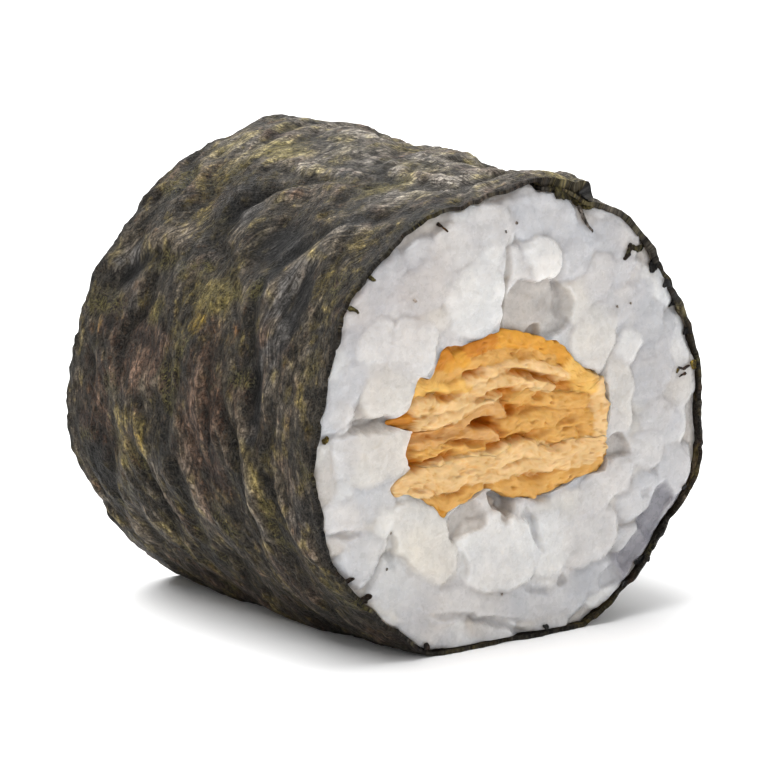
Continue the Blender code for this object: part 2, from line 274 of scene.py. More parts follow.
@dataclass(frozen=True)
class RollForm:
    """The form that the wrapper and the rice share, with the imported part's own sizes."""

    radius: float = 15.0 * MM
    length: float = 26.3 * MM
    rest_height: float = 14.0 * MM
    far_growth: float = 0.48 * MM
    middle_growth: float = 0.16 * MM
    wall: float = 0.45 * MM
    lap_end: float = math.radians(65)
    lap_sweep: float = math.radians(16)
    lap_gap: float = 0.15 * MM
    lap_rise: float = math.radians(22)
    lap_crest: float = math.radians(7)
    lap_lift: float = 0.65 * MM
    lap_curl: float = math.radians(2.6)
    lap_settle: float = 0.30
    sink_hold: float = math.radians(19)
    sink_fade: float = math.radians(30)
    sink_step: float = math.radians(9)
    near_lobes: tuple[Lobe, ...] = lobes(
        (0.26, 1, -78), (0.11, 2, -25), (0.09, 3, -10), (0.10, 4, -23), (0.25, 5, -14)
    )
    far_lobes: tuple[Lobe, ...] = lobes(
        (0.18, 1, 102), (0.29, 2, 54), (0.28, 3, -44), (0.23, 4, -5), (0.20, 5, 28)
    )
    middle_lobes: tuple[Lobe, ...] = lobes(
        (0.29, 1, -88), (0.15, 2, -84), (0.13, 3, 22), (0.10, 4, -6), (0.09, 5, -32)
    )

    @property
    def half(self) -> float:
        """Half the roll's length, which is where the cut faces lie."""
        return self.length / 2

    @staticmethod
    def ripple(waves: tuple[Lobe, ...], angle: Array) -> Array:
        """Sum of the lobes at an angle."""
        return sum(lobe.size * np.cos(lobe.waves * (angle - lobe.crest)) for lobe in waves)

    @staticmethod
    def swell(angle: Array, along: Array) -> Array:
        """How far the grains beneath push the wrapper out.

        Args:
            angle: Angle round the roll.
            along: Place along the roll.

        Returns:
            Metres, outwards.
        """
        ribs = np.sin(TAU * along / (4.4 * MM) + 1.3 * np.sin(3 * angle + 0.4))
        ribs = ribs * (0.65 + 0.35 * np.cos(5 * angle + 0.7))
        grains = np.sin(11 * angle + TAU * along / (9.5 * MM) + 0.9)
        folds = np.sin(4 * angle - TAU * along / (21 * MM) + 2.1)
        return (0.15 * ribs + 0.13 * grains + 0.10 * folds) * MM

    def outside(self, angle: Array, along: Array) -> Array:
        """Radius of the wrapper's outer side, without its lap.

        Args:
            angle: Angle round the roll.
            along: Place along the roll.

        Returns:
            The radius at each point.
        """
        share = np.clip(along / self.length + 0.5, 0.0, 1.0)
        far = share * (self.far_growth + self.ripple(self.far_lobes, angle))
        middle = self.middle_growth + self.ripple(self.middle_lobes, angle)
        near = self.radius + self.ripple(self.near_lobes, angle)
        return near + far + 4 * share * (1 - share) * middle + self.swell(angle, along)

    def standing(self, along: Array) -> Array:
        """How much of the lap stands up on the roll rather than being sunk in it."""
        return ease(1 - (along / self.length + 0.5) / self.lap_settle)

    def sink(self, turned: Array, along: Array) -> Array:
        """How deep the sheet lies under its own outer end.

        Args:
            turned: Angle turned from the sheet's hidden end.
            along: Place along the roll.

        Returns:
            Metres, inwards.
        """
        depth = (self.wall + self.lap_gap) * (1 - self.standing(along))
        before = ease(1 + turned / self.sink_step)
        after = ease(1 - (turned - self.sink_hold) / self.sink_fade)
        return depth * np.where(turned < 0, before, after)

    def lift(self, left_over: Array, along: Array) -> Array:
        """How far the sheet climbs onto its hidden end, where it is also folded double.

        Args:
            left_over: Angle that is left before the sheet's outer end.
            along: Place along the roll.

        Returns:
            Metres, outwards.
        """
        upright = self.standing(along)
        climb = ease(1 - (left_over - self.lap_sweep) / self.lap_rise)
        folded = ease(1.5 * (1 - left_over / self.lap_crest)) * (0.2 + 0.8 * upright)
        folded = folded * ease((left_over + self.lap_curl * 0.1) / self.lap_curl)
        tip = 1 - 0.5 * ease(1 - left_over / self.lap_curl)
        return (self.wall + self.lap_gap) * climb * upright * tip + self.lap_lift * folded

    def unroll(self, turn: float) -> float:
        """Millimetres round the sheet for degrees round the roll, on the layer that shows."""
        past_lap = turn > math.degrees(self.lap_end)
        return math.radians(turn - 360 * past_lap) * self.radius / MM

    def points(self, radius: Array, angle: Array, along: Array, lowest: float) -> Array:
        """Points at a radius and angle about the middle line.

        Args:
            radius: Distance from the middle line.
            angle: Angle round the roll.
            along: Place along the roll.
            lowest: No point goes below this height, because the roll's own weight presses it flat.

        Returns:
            An array with a row of three coordinates for each point.
        """
        height = np.maximum(lowest, self.rest_height + radius * np.sin(angle))
        columns = np.broadcast_arrays(radius * np.cos(angle), along, height)
        return np.stack(columns, axis=-1)


def deselect() -> None:
    """Leaves nothing selected, so that an operator acts on what comes next alone."""
    if bpy.context.mode != "OBJECT":
        bpy.ops.object.mode_set(mode="OBJECT")
    bpy.ops.object.select_all(action="DESELECT")


def take(piece: bpy.types.Object) -> None:
    """Selects the piece alone and makes it active."""
    deselect()
    piece.select_set(True)
    bpy.context.view_layer.objects.active = piece


def new_grid(name: str, across: int, along: int) -> bpy.types.Object:
    """A flat sheet one metre square, divided into quads, to be shaped.

    Args:
        name: The piece's name.
        across: Quads along X.
        along: Quads along Y.

    Returns:
        The new object, selected and active.
    """
    deselect()
    bpy.ops.mesh.primitive_grid_add(x_subdivisions=across, y_subdivisions=along, size=1.0)
    sheet = bpy.context.object
    sheet.name = name
    sheet.data.name = name
    return sheet


def read_points(piece: bpy.types.Object) -> Array:
    """Reads where the piece's vertices lie.

    Args:
        piece: A mesh object.

    Returns:
        A row of three coordinates for each vertex.
    """
    flat = np.zeros(len(piece.data.vertices) * 3)
    piece.data.vertices.foreach_get("co", flat)
    return flat.reshape(-1, 3)


def write_points(piece: bpy.types.Object, points: Array) -> None:
    """Moves the piece's vertices to the rows of the array."""
    piece.data.vertices.foreach_set("co", points.astype(np.float32).ravel())
    piece.data.update()


def paint(piece: bpy.types.Object, name: str, colours: Array) -> None:
    """Stores a colour for each vertex, which the materials read by name.

    Args:
        piece: The object to paint.
        name: The attribute's name.
        colours: A row of three linear values for each vertex.
    """
    layer = piece.data.color_attributes.new(name=name, type="FLOAT_COLOR", domain="POINT")
    rows = np.column_stack([colours, np.ones(len(colours))])
    layer.data.foreach_set("color", rows.astype(np.float32).ravel())


def measure(piece: bpy.types.Object, name: str, values: Array) -> None:
    """Stores a number for each vertex, which the materials read by name.

    Args:
        piece: The object that gets the numbers.
        name: The attribute's name.
        values: One number for each vertex.
    """
    layer = piece.data.attributes.new(name=name, type="FLOAT", domain="POINT")
    layer.data.foreach_set("value", np.asarray(values, dtype=np.float32).ravel())


def lay_flat(piece: bpy.types.Object, spots: Array) -> None:
    """Stores where each vertex lies on the unrolled sheet, as the UV map that the materials read.

    Args:
        piece: A sheet made from a grid.
        spots: Millimetres round the sheet and along it, a row for each vertex.
    """
    corners = np.zeros(len(piece.data.loops), dtype=np.int64)
    piece.data.loops.foreach_get("vertex_index", corners)
    layer = piece.data.uv_layers[0]
    layer.name = "unrolled"
    layer.data.foreach_set("uv", (spots[corners] * UV_PER_MM).astype(np.float32).ravel())


def thicken(piece: bpy.types.Object, thickness: float, offset: float, group: str = "",
            thin_share: float = 0.0) -> None:
    """Gives a sheet its wall.

    Args:
        piece: The sheet.
        thickness: The wall's thickness, or its most where a vertex group sets it.
        offset: -1 for a wall on the inner side, 0 for one half way on each side.
        group: The vertex group that says where the wall is thick.
        thin_share: Share of the thickness where the group holds nothing.
    """
    wall = piece.modifiers.new("sheet", "SOLIDIFY")
    wall.thickness = thickness
    wall.thickness_vertex_group = thin_share
    wall.vertex_group = group
    wall.offset = offset
    take(piece)
    bpy.ops.object.modifier_apply(modifier=wall.name)


def close_seams(piece: bpy.types.Object, gap: float) -> None:
    """Merges vertices that lie together and turns every face outwards.

    Args:
        piece: A mesh object whose seams meet.
        gap: Vertices nearer than this become one.
    """
    take(piece)
    bpy.ops.object.mode_set(mode="EDIT")
    bpy.ops.mesh.select_all(action="SELECT")
    bpy.ops.mesh.remove_doubles(threshold=gap)
    bpy.ops.mesh.normals_make_consistent(inside=False)
    bpy.ops.object.mode_set(mode="OBJECT")


def hand_over(piece: bpy.types.Object, node: str, finish: bpy.types.Material) -> None:
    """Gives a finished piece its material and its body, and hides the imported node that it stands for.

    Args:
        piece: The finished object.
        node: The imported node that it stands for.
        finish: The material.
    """
    piece.data.materials.clear()
    piece.data.materials.append(finish)
    piece.data.shade_smooth()
    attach(piece, BODY)
    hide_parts(node)


def report(piece: bpy.types.Object) -> None:
    """Logs a finished piece and how many triangles it has."""
    triangles = sum(len(face.vertices) - 2 for face in piece.data.polygons)
    LOG.info("%s: %d triangles", piece.name, triangles)


class Recipe:
    """A material whose nodes are added one by one and wired as they come."""

    def __init__(self, name: str) -> None:
        """Starts a material with its Principled shader.

        Args:
            name: The material's name.
        """
        self.material = bpy.data.materials.new(name)
        self.material.use_nodes = True
        self.tree = self.material.node_tree
        self.shader = self.tree.nodes["Principled BSDF"]

    def add(self, kind: str, inputs: dict | None = None, **settings: object) -> bpy.types.Node:
        """Adds a node.

        Args:
            kind: The node's type after ShaderNode.
            inputs: Values or sockets for its inputs, by name or number.
            settings: The node's own properties.

        Returns:
            The node.
        """
        node = self.tree.nodes.new(f"ShaderNode{kind}")
        for name, value in settings.items():
            setattr(node, name, value)
        self.feed(node, inputs or {})
        return node

    def feed(self, node: bpy.types.Node, inputs: dict) -> None:
        """Sets a node's inputs to values, or links them to sockets.

        Args:
            node: The node to feed.
            inputs: Values or sockets, by input name or number.
        """
        for key, value in inputs.items():
            if isinstance(value, bpy.types.NodeSocket):
                self.tree.links.new(value, node.inputs[key])
            else:
                node.inputs[key].default_value = value

    def place(self) -> bpy.types.NodeSocket:
        """Object coordinates."""
        return self.add("TexCoord").outputs["Object"]

    def unrolled(self, scale: tuple[float, float, float]) -> bpy.types.NodeSocket:
        """The piece's own UV map, multiplied along each axis."""
        source = self.add("UVMap", uv_map="unrolled").outputs[0]
        return self.add("Mapping", {"Vector": source, "Scale": scale}).outputs[0]

    def stored(self, name: str, output: str) -> bpy.types.NodeSocket:
        """A stored attribute's output, Color or Fac."""
        return self.add("Attribute", attribute_name=name).outputs[output]

    def noise(
        self, vector: bpy.types.NodeSocket, scale: float, detail: float = 2.0, twist: float = 0.0,
        crisp: float = 0.5
    ) -> bpy.types.NodeSocket:
        """Noise from 0 to 1.

        Args:
            vector: Where it is read.
            scale: How many cells to a unit.
            detail: How many finer layers.
            twist: How far it is distorted.
            crisp: How strong the finer layers are, 0 to 1.

        Returns:
            The noise's value socket.
        """
        inputs = {"Vector": vector, "Scale": scale, "Detail": detail, "Distortion": twist,
                  "Roughness": crisp}
        return self.add("TexNoise", inputs).outputs[0]

    def span(self, value: bpy.types.NodeSocket, low: float, high: float, start: float, end: float
             ) -> bpy.types.NodeSocket:
        """Stretches a value from one range to another and cuts off the rest.

        Args:
            value: The value.
            low: What becomes the start.
            high: What becomes the end.
            start: Result at low.
            end: Result at high.

        Returns:
            The result's socket.
        """
        inputs = {0: value, 1: low, 2: high, 3: start, 4: end}
        return self.add("MapRange", inputs).outputs[0]

    def math(self, operation: str, first: object, second: object = 0.5) -> bpy.types.NodeSocket:
        """One sum of two values or sockets."""
        return self.add("Math", {0: first, 1: second}, operation=operation).outputs[0]

    def mix(self, share: object, first: object, second: object, blend: str = "MIX"
            ) -> bpy.types.NodeSocket:
        """Mixes two colours.

        Args:
            share: How much of the second, 0 to 1.
            first: A colour or socket.
            second: A colour or socket.
            blend: The mix node's blend type.

        Returns:
            The mixed colour's socket.
        """
        ready = [(*part, 1.0) if isinstance(part, tuple) and len(part) == 3 else part
                 for part in (first, second)]
        # A Mix node's sockets 6 and 7 are its two colours, and output 2 is the mixed one
        node = self.add("Mix", {0: share, 6: ready[0], 7: ready[1]},
                        data_type="RGBA", blend_type=blend)
        return node.outputs[2]

    def bump(self, height: bpy.types.NodeSocket, depth: float, strength: float = 1.0) -> None:
        """Fine relief on the shader's normal.

        Args:
            height: The relief, 0 to 1.
            depth: How deep that is, in metres.
            strength: How much of it shows.
        """
        inputs = {"Height": height, "Distance": depth, "Strength": strength}
        node = self.add("Bump", inputs)
        self.feed(self.shader, {"Normal": node.outputs[0]})


@dataclass(frozen=True)
class NoriFinish:
    """Moist toasted nori: dark, fibrous, satin."""

    crepe_dark: Colour = (0.26, 0.24, 0.22)
    crepe_light: Colour = (1.95, 1.92, 1.84)
    streak_dark: Colour = (0.42, 0.40, 0.39)
    streak_light: Colour = (1.85, 1.84, 1.82)
    crack: Colour = (0.15, 0.13, 0.11)
    bare_strand: Colour = (0.150, 0.138, 0.115)
    olive_strand: Colour = (0.210, 0.180, 0.062)
    roughness: float = 0.45
    shine: float = 0.12
    relief: float = 0.08 * MM

    def make(self) -> bpy.types.Material:
        """Builds the material.

        Returns:
            The material, which reads the attributes "weed", "fuzz" and "grain" and the UV map,
            where one unit is a tenth of a metre. On the sheet, "weed" holds painted light, shade and
            sheen.
        """
        recipe = Recipe("nori")
        tint = recipe.stored("weed", "Color")
        fuzz = recipe.stored("fuzz", "Fac")
        crepe = recipe.noise(recipe.unrolled((260, 340, 1)), 1.0, 7.0, 0.3, 0.70)
        flesh = recipe.span(crepe, 0.42, 0.60, 0.0, 1.0)
        mottled = recipe.mix(flesh, self.crepe_dark, self.crepe_light)
        mottled = recipe.mix(1.0, tint, mottled, "MULTIPLY")
        colour = recipe.mix(recipe.span(fuzz, 0.0, 0.6, 0.35, 1.0), tint, mottled)
        streaks = recipe.span(self.streaks(recipe), 0.42, 0.59, 0.0, 1.0)
        combed = recipe.mix(streaks, self.streak_dark, self.streak_light)
        combed = recipe.mix(1.0, colour, combed, "MULTIPLY")
        colour = recipe.mix(recipe.span(fuzz, 0.2, 0.9, 1.0, 0.35), colour, combed)
        broad_cracks = self.strands(recipe, (62, 88, 1), 0.026)
        cracks = recipe.math("MAXIMUM", broad_cracks, self.strands(recipe, (135, 112, 1), 0.040))
        split = recipe.mix(1.0, colour, self.crack, "MULTIPLY")
        colour = recipe.mix(recipe.math("MULTIPLY", cracks, 0.85), colour, split)
        strands = self.strands(recipe, (95, 125, 1), 0.036)
        finer = self.strands(recipe, (190, 150, 1), 0.050)
        tangle = recipe.math("MAXIMUM", strands, recipe.math("MULTIPLY", finer, 0.6))
        dense = recipe.math("MULTIPLY", tangle, recipe.span(fuzz, 0.1, 1.0, 0.10, 0.95))
        fibre = recipe.mix(recipe.span(fuzz, 0.5, 1.0, 0.0, 1.0), self.bare_strand, self.olive_strand)
        colour = recipe.mix(dense, colour, recipe.mix(0.7, tint, fibre))
        rough = recipe.span(crepe, 0.3, 0.7, self.roughness + 0.12, self.roughness - 0.06)
        recipe.feed(recipe.shader, {
            "Base Color": colour,
            "Roughness": rough,
            "Specular IOR Level": self.shine,
        })
        fibres = recipe.math("ADD", flesh, recipe.math("MULTIPLY", dense, 0.8))
        fibres = recipe.math("ADD", fibres, recipe.math("MULTIPLY", streaks, 0.8))
        recipe.bump(recipe.math("SUBTRACT", fibres, cracks), self.relief, 0.9)
        return recipe.material

    @staticmethod
    def streaks(recipe: Recipe) -> bpy.types.NodeSocket:
        """Long fine fibres that follow the folds.

        Args:
            recipe: The material.

        Returns:
            Noise from 0 to 1, drawn out along the fibres.
        """
        across = recipe.math("MULTIPLY", recipe.stored("grain", "Fac"), 330.0)
        spot = recipe.add("SeparateXYZ", {0: recipe.unrolled((34, 34, 1))})
        place = recipe.add("CombineXYZ", {0: across, 1: spot.outputs[0], 2: spot.outputs[1]})
        return recipe.noise(place.outputs[0], 1.0, 4.0, 0.4, 0.62)

    @staticmethod
    def strands(recipe: Recipe, scale: tuple[float, float, float], width: float
                ) -> bpy.types.NodeSocket:
        """Thin curly lines where a noise crosses its middle value.

        Args:
            recipe: The material.
            scale: The noise's scale on the unrolled sheet.
            width: How wide a line is, in the noise's own values.

        Returns:
            1 on the lines and 0 between them.
        """
        curls = recipe.noise(recipe.unrolled(scale), 1.0, 2.0, 2.2)
        off = recipe.math("ABSOLUTE", recipe.math("SUBTRACT", curls, 0.5))
        return recipe.span(off, 0.0, width, 1.0, 0.0)


@dataclass(frozen=True)
class RiceFinish:
    """Cooked short-grain rice: white, translucent and moist."""

    glow: float = 1.0
    reach: float = 2.3 * MM
    spread: Colour = (1.0, 0.92, 0.82)
    roughness: float = 0.24
    shine: float = 0.55
    relief: float = 0.05 * MM
    glassy: Colour = (0.93, 0.935, 0.95)
    milky: Colour = (1.0, 1.0, 1.0)
    clear: Colour = (0.98, 0.985, 0.99)
    frosted: Colour = (1.03, 1.025, 1.02)

    def make(self) -> bpy.types.Material:
        """Builds the material.

        Returns:
            The material, which reads the attribute "starch".
        """
        recipe = Recipe("rice")
        tint = recipe.stored("starch", "Color")
        cloud = recipe.span(recipe.noise(recipe.place(), 420.0, 3.0), 0.35, 0.65, 0.0, 1.0)
        colour = recipe.mix(1.0, tint, recipe.mix(cloud, self.glassy, self.milky), "MULTIPLY")
        grain = recipe.noise(recipe.place(), 2600.0, 3.0)
        wisps = recipe.span(recipe.noise(recipe.place(), 800.0, 2.0), 0.36, 0.64, 0.0, 1.0)
        colour = recipe.mix(1.0, colour, recipe.mix(wisps, self.clear, self.frosted), "MULTIPLY")
        rough = recipe.span(grain, 0.3, 0.7, self.roughness - 0.06, self.roughness + 0.14)
        recipe.feed(recipe.shader, {
            "Base Color": colour,
            "Roughness": rough,
            "Subsurface Weight": self.glow,
            "Subsurface Radius": self.spread,
            "Subsurface Scale": self.reach,
            "Specular IOR Level": self.shine,
        })
        recipe.bump(grain, self.relief, 0.35)
        return recipe.material


@dataclass(frozen=True)
class TofuFinish:
    """Fried tofu simmered in sweet soy: spongy cream inside, orange skin."""

    glow: float = 0.5
    reach: float = 0.45 * MM
    spread: Colour = (0.8, 0.55, 0.28)
    roughness: float = 0.52
    shine: float = 0.25
    relief: float = 0.08 * MM
    stain_dark: Colour = (0.90, 0.85, 0.76)
    stain_light: Colour = (1.06, 1.06, 1.08)
    soak_and_shade: Colour = (0.84, 0.50, 0.07)

    def make(self) -> bpy.types.Material:
        """Builds the material.

        Returns:
            The material, which reads the attributes "curd" and "cavity"; "cavity" says where painted
            shade darkens the colour to a deep orange.
        """
        recipe = Recipe("tofu")
        tint = recipe.stored("curd", "Color")
        cavity = recipe.stored("cavity", "Fac")
        stain = recipe.span(recipe.noise(recipe.place(), 700.0, 4.0), 0.35, 0.7, 0.0, 1.0)
        mottled = recipe.mix(stain, self.stain_dark, self.stain_light)
        colour = recipe.mix(1.0, tint, mottled, "MULTIPLY")
        # Painted shade in the cavities: the colour darkened to a deep orange
        deep = recipe.mix(1.0, colour, self.soak_and_shade, "MULTIPLY")
        colour = recipe.mix(cavity, colour, deep)
        pores = recipe.noise(recipe.place(), 2300.0, 4.0)
        recipe.feed(recipe.shader, {
            "Base Color": colour,
            "Roughness": self.roughness,
            "Subsurface Weight": self.glow,
            "Subsurface Radius": self.spread,
            "Subsurface Scale": self.reach,
            "Specular IOR Level": self.shine,
        })
        recipe.bump(pores, self.relief, 0.55)
        return recipe.material


@dataclass(frozen=True)
class FloorFinish:
    """A plain pale studio floor."""

    shade: float = 0.93
    drift: float = 0.004
    roughness: float = 0.9

    def make(self) -> bpy.types.Material:
        """Builds the material.

        Returns:
            The material.
        """
        recipe = Recipe("floor")
        cloud = recipe.noise(recipe.place(), 6.0)
        low = (self.shade - self.drift,) * 3
        high = (self.shade + self.drift,) * 3
        colour = recipe.mix(cloud, low, high)
        recipe.feed(recipe.shader, {"Base Color": colour, "Roughness": self.roughness})
        return recipe.material


@dataclass(frozen=True)
class Patch:
    """A spot on the rolled sheet: degrees round it, millimetres along it, and its reach each way."""

    turn: float
    along: float
    wide: float
    long: float
    weed: Weed
    strength: float = 1.0

    def cover(self, arc: Array, along: Array, form: RollForm) -> Array:
        """How much of the patch lies at each point.

        Args:
            arc: Millimetres round the sheet from +X.
            along: Millimetres along it.
            form: The roll's form.

        Returns:
            0 to 1 at each point.
        """
        middle = form.unroll(self.turn)
        off = np.hypot((arc - middle) / self.wide, (along - self.along) / self.long)
        return self.strength * ease(1.35 - off)


# The patches of colour that can be told apart on the shown side, those of sheen being painted sheen; a
# later one lies over an earlier
SHOWN_PATCHES = (
    Patch(104, 6, 2.0, 3.2, Weed.OLIVE),
    Patch(118, 8, 2.4, 2.4, Weed.OLIVE, 0.8),
    Patch(150, 0.5, 2.0, 3.2, Weed.OLIVE, 0.9),
    Patch(92, -6, 1.5, 1.4, Weed.OLIVE, 0.8),
    Patch(104, -5.5, 1.7, 1.5, Weed.OLIVE),
    Patch(122, -6, 1.2, 1.5, Weed.OLIVE, 0.6),
    Patch(141, -10, 1.6, 1.2, Weed.OLIVE, 0.6),
    Patch(161, -11.5, 3.0, 1.0, Weed.OLIVE, 0.5),
    Patch(158, 5.5, 1.2, 1.2, Weed.OLIVE),
    Patch(201, 1.8, 1.0, 0.6, Weed.OLIVE, 0.7),
    Patch(216, 4.5, 1.6, 1.0, Weed.OLIVE, 0.4),
    Patch(190, 7, 1.2, 3.0, Weed.OLIVE, 0.7),
    Patch(185, -8, 1.0, 1.4, Weed.OLIVE, 0.6),
    Patch(115, 0.2, 0.35, 1.0, Weed.YELLOW, 0.6),
    Patch(157, 0.3, 0.5, 0.5, Weed.YELLOW),
    Patch(165, 11, 0.8, 0.7, Weed.YELLOW, 0.55),
    Patch(156, -3.4, 0.5, 0.9, Weed.RUST, 0.7),
    Patch(175, 4.5, 1.0, 0.5, Weed.YELLOW, 0.5),
    Patch(92, 11.6, 0.8, 0.6, Weed.RUST, 0.6),
    Patch(180, -2, 6.0, 3.0, Weed.BROWN),
    Patch(168, 6, 3.0, 4.0, Weed.BROWN),
    Patch(186, 10, 4.0, 2.0, Weed.BROWN),
    Patch(118, -8.5, 4.0, 2.4, Weed.PAINTED_SHEEN, 0.7),
    Patch(100, -2.5, 2.6, 2.4, Weed.PAINTED_SHEEN, 0.7),
    Patch(108, 2.5, 2.0, 2.2, Weed.PAINTED_SHEEN, 0.6),
    Patch(112, 10, 1.6, 1.5, Weed.PAINTED_SHEEN, 0.6),
    Patch(141, -6.6, 2.6, 0.8, Weed.PAINTED_SHEEN, 0.6),
    Patch(133, -0.4, 1.6, 0.5, Weed.PAINTED_SHEEN, 0.6),
    Patch(128, 5.4, 2.2, 0.7, Weed.PAINTED_SHEEN, 0.5),
    Patch(160, 4.4, 2.0, 0.5, Weed.PAINTED_SHEEN, 0.5),
    Patch(200, -0.1, 5.0, 0.8, Weed.PAINTED_SHEEN, 0.5),
    Patch(196, -6.8, 4.5, 0.7, Weed.PAINTED_SHEEN, 0.7),
    Patch(198, 3.6, 3.5, 0.6, Weed.PAINTED_SHEEN, 0.5),
    Patch(170, -9.5, 4.0, 0.5, Weed.PAINTED_SHEEN, 0.5),
    Patch(190, -11, 4.0, 0.5, Weed.PAINTED_SHEEN, 0.5),
    Patch(225, -2, 4.0, 0.6, Weed.PAINTED_SHEEN, 0.6),
    Patch(134, -3, 2.3, 3.0, Weed.CHARCOAL),
    Patch(126, 2.6, 2.3, 1.7, Weed.CHARCOAL),
    Patch(151, -8, 5.0, 1.2, Weed.CHARCOAL),
    Patch(172, -6.8, 4.0, 0.8, Weed.CHARCOAL),
    Patch(148, 10.5, 2.4, 1.8, Weed.CHARCOAL),
    Patch(98, -9.5, 3.0, 2.4, Weed.PAINTED_SHEEN, 0.8),
    Patch(88, -5.0, 2.4, 3.4, Weed.PAINTED_SHEEN, 0.7),
    Patch(97, 2.0, 1.6, 3.0, Weed.PAINTED_SHEEN, 0.7),
    Patch(86, 5.0, 2.0, 3.0, Weed.PAINTED_SHEEN, 0.6),
    Patch(72, -12.4, 1.5, 1.0, Weed.OLIVE, 0.7),
    Patch(66.4, -12.2, 0.7, 1.6, Weed.CHARCOAL),
    Patch(75, -11.6, 1.4, 0.6, Weed.OLIVE, 0.8),
    Patch(157, 0.6, 0.9, 0.8, Weed.YELLOW, 0.8),
    Patch(150, -10.8, 2.2, 0.5, Weed.YELLOW, 0.3),
    Patch(175, -10.6, 1.6, 0.5, Weed.YELLOW, 0.4),
    Patch(146, -6.4, 2.6, 1.2, Weed.CHARCOAL),
    Patch(166, 11.0, 0.6, 1.4, Weed.RUST, 0.5),
    Patch(170, -3.6, 0.8, 0.5, Weed.RUST, 0.5),
    Patch(188, 5.0, 1.0, 0.7, Weed.YELLOW, 0.5),
)


@dataclass(frozen=True)
class Fold:
    """A fold of the rolled sheet, along a line of degrees round it and millimetres along it.

    Its rise and half width are millimetres. A crease follows it on the side that is given: 1 is
    the left side of the line's own direction on the unrolled sheet, -1 the right. How far off the
    crease lies and how wide it is count in the fold's half widths.
    """

    line: tuple[tuple[float, float], ...]
    rise: float
    half_wide: float
    crease: int = 1
    crease_off: float = 1.7
    crease_wide: float = 0.75

    def shape(self, arc: Array, along: Array, form: RollForm) -> tuple[Array, Array]:
        """The fold at points of the sheet.

        Args:
            arc: Millimetres round the sheet.
            along: Millimetres along it.
            form: The roll's form.

        Returns:
            How much of the ridge and of the crease lies at each point, 0 to 1.
        """
        start = form.unroll(self.line[0][0]) - math.radians(self.line[0][0]) * form.radius / MM
        knots = [(start + math.radians(turn) * form.radius / MM, place) for turn, place in self.line]
        near, side, walk = off_line(knots, arc, along)
        taper = np.sin(math.pi * np.clip(walk, 0, 1)) ** 0.6
        across = near * side * self.crease / self.half_wide
        beside = (across - self.crease_off) / self.crease_wide
        return taper * np.exp(-across * across), taper * np.exp(-(beside**2))


# The folds that can be told apart on the shown side, from the top down to the floor
SHOWN_FOLDS = (
    Fold(((109, -5.7), (113, -2.6), (117, -0.3), (123, 1.7), (128, 2.5), (133, 2.2), (138, 0.0)),
         0.34, 0.75),
    Fold(((118, -12.5), (123, -10.5), (129, -8.5), (134, -7.2), (139, -6.3), (144, -5.6), (150, -5.9),
          (157, -6.9), (165, -7.6), (172, -7.7), (180, -7.5)), 0.38, 0.95),
    Fold(((152, 12.6), (146, 11.3), (141, 9.3), (139, 7.1), (139, 4.5)), 0.32, 0.8),
    Fold(((107, 5.2), (108, 2.0), (108, -1.0), (107, -3.5), (103, -5.0)), 0.26, 0.55),
    Fold(((78, 6.2), (84, 9.1), (93, 8.4), (102, 7.2)), 0.30, 0.7),
    Fold(((190, 7.6), (198, 8.0), (206, 8.7), (214, 9.6), (226, 11.0)), 0.26, 0.65),
    Fold(((184, 5.0), (190, 4.2), (198, 3.4), (206, 3.0), (216, 3.2)), 0.24, 0.7),
    Fold(((178, 0.9), (190, 0.1), (195, -0.4), (202, -0.3), (210, 0.3), (222, 1.5)), 0.34, 0.8),
    Fold(((168, -4.6), (177, -5.9), (186, -6.6), (192, -6.9), (198, -6.9), (203, -6.8), (214, -6.2)),
         0.32, 0.75),
    Fold(((162, -0.6), (172, -1.3), (179, -1.8), (190, -2.0)), 0.24, 0.5, -1),
    Fold(((176, -9.4), (185, -9.1), (193, -9.5), (200, -10.6), (209, -12.3)), 0.24, 0.55),
    Fold(((185, 13.6), (195, 13.2), (207, 12.6), (218, 11.5), (228, 9.4)), 0.26, 0.6),
    Fold(((93, -12.0), (97, -8.5), (98, -5.0), (95, -2.0)), 0.24, 0.6, -1),
    Fold(((112, 12.0), (118, 10.0), (124, 9.0), (131, 9.5)), 0.24, 0.55),
    Fold(((148, 8.5), (158, 8.0), (168, 8.6), (178, 7.8)), 0.20, 0.5, -1),
)


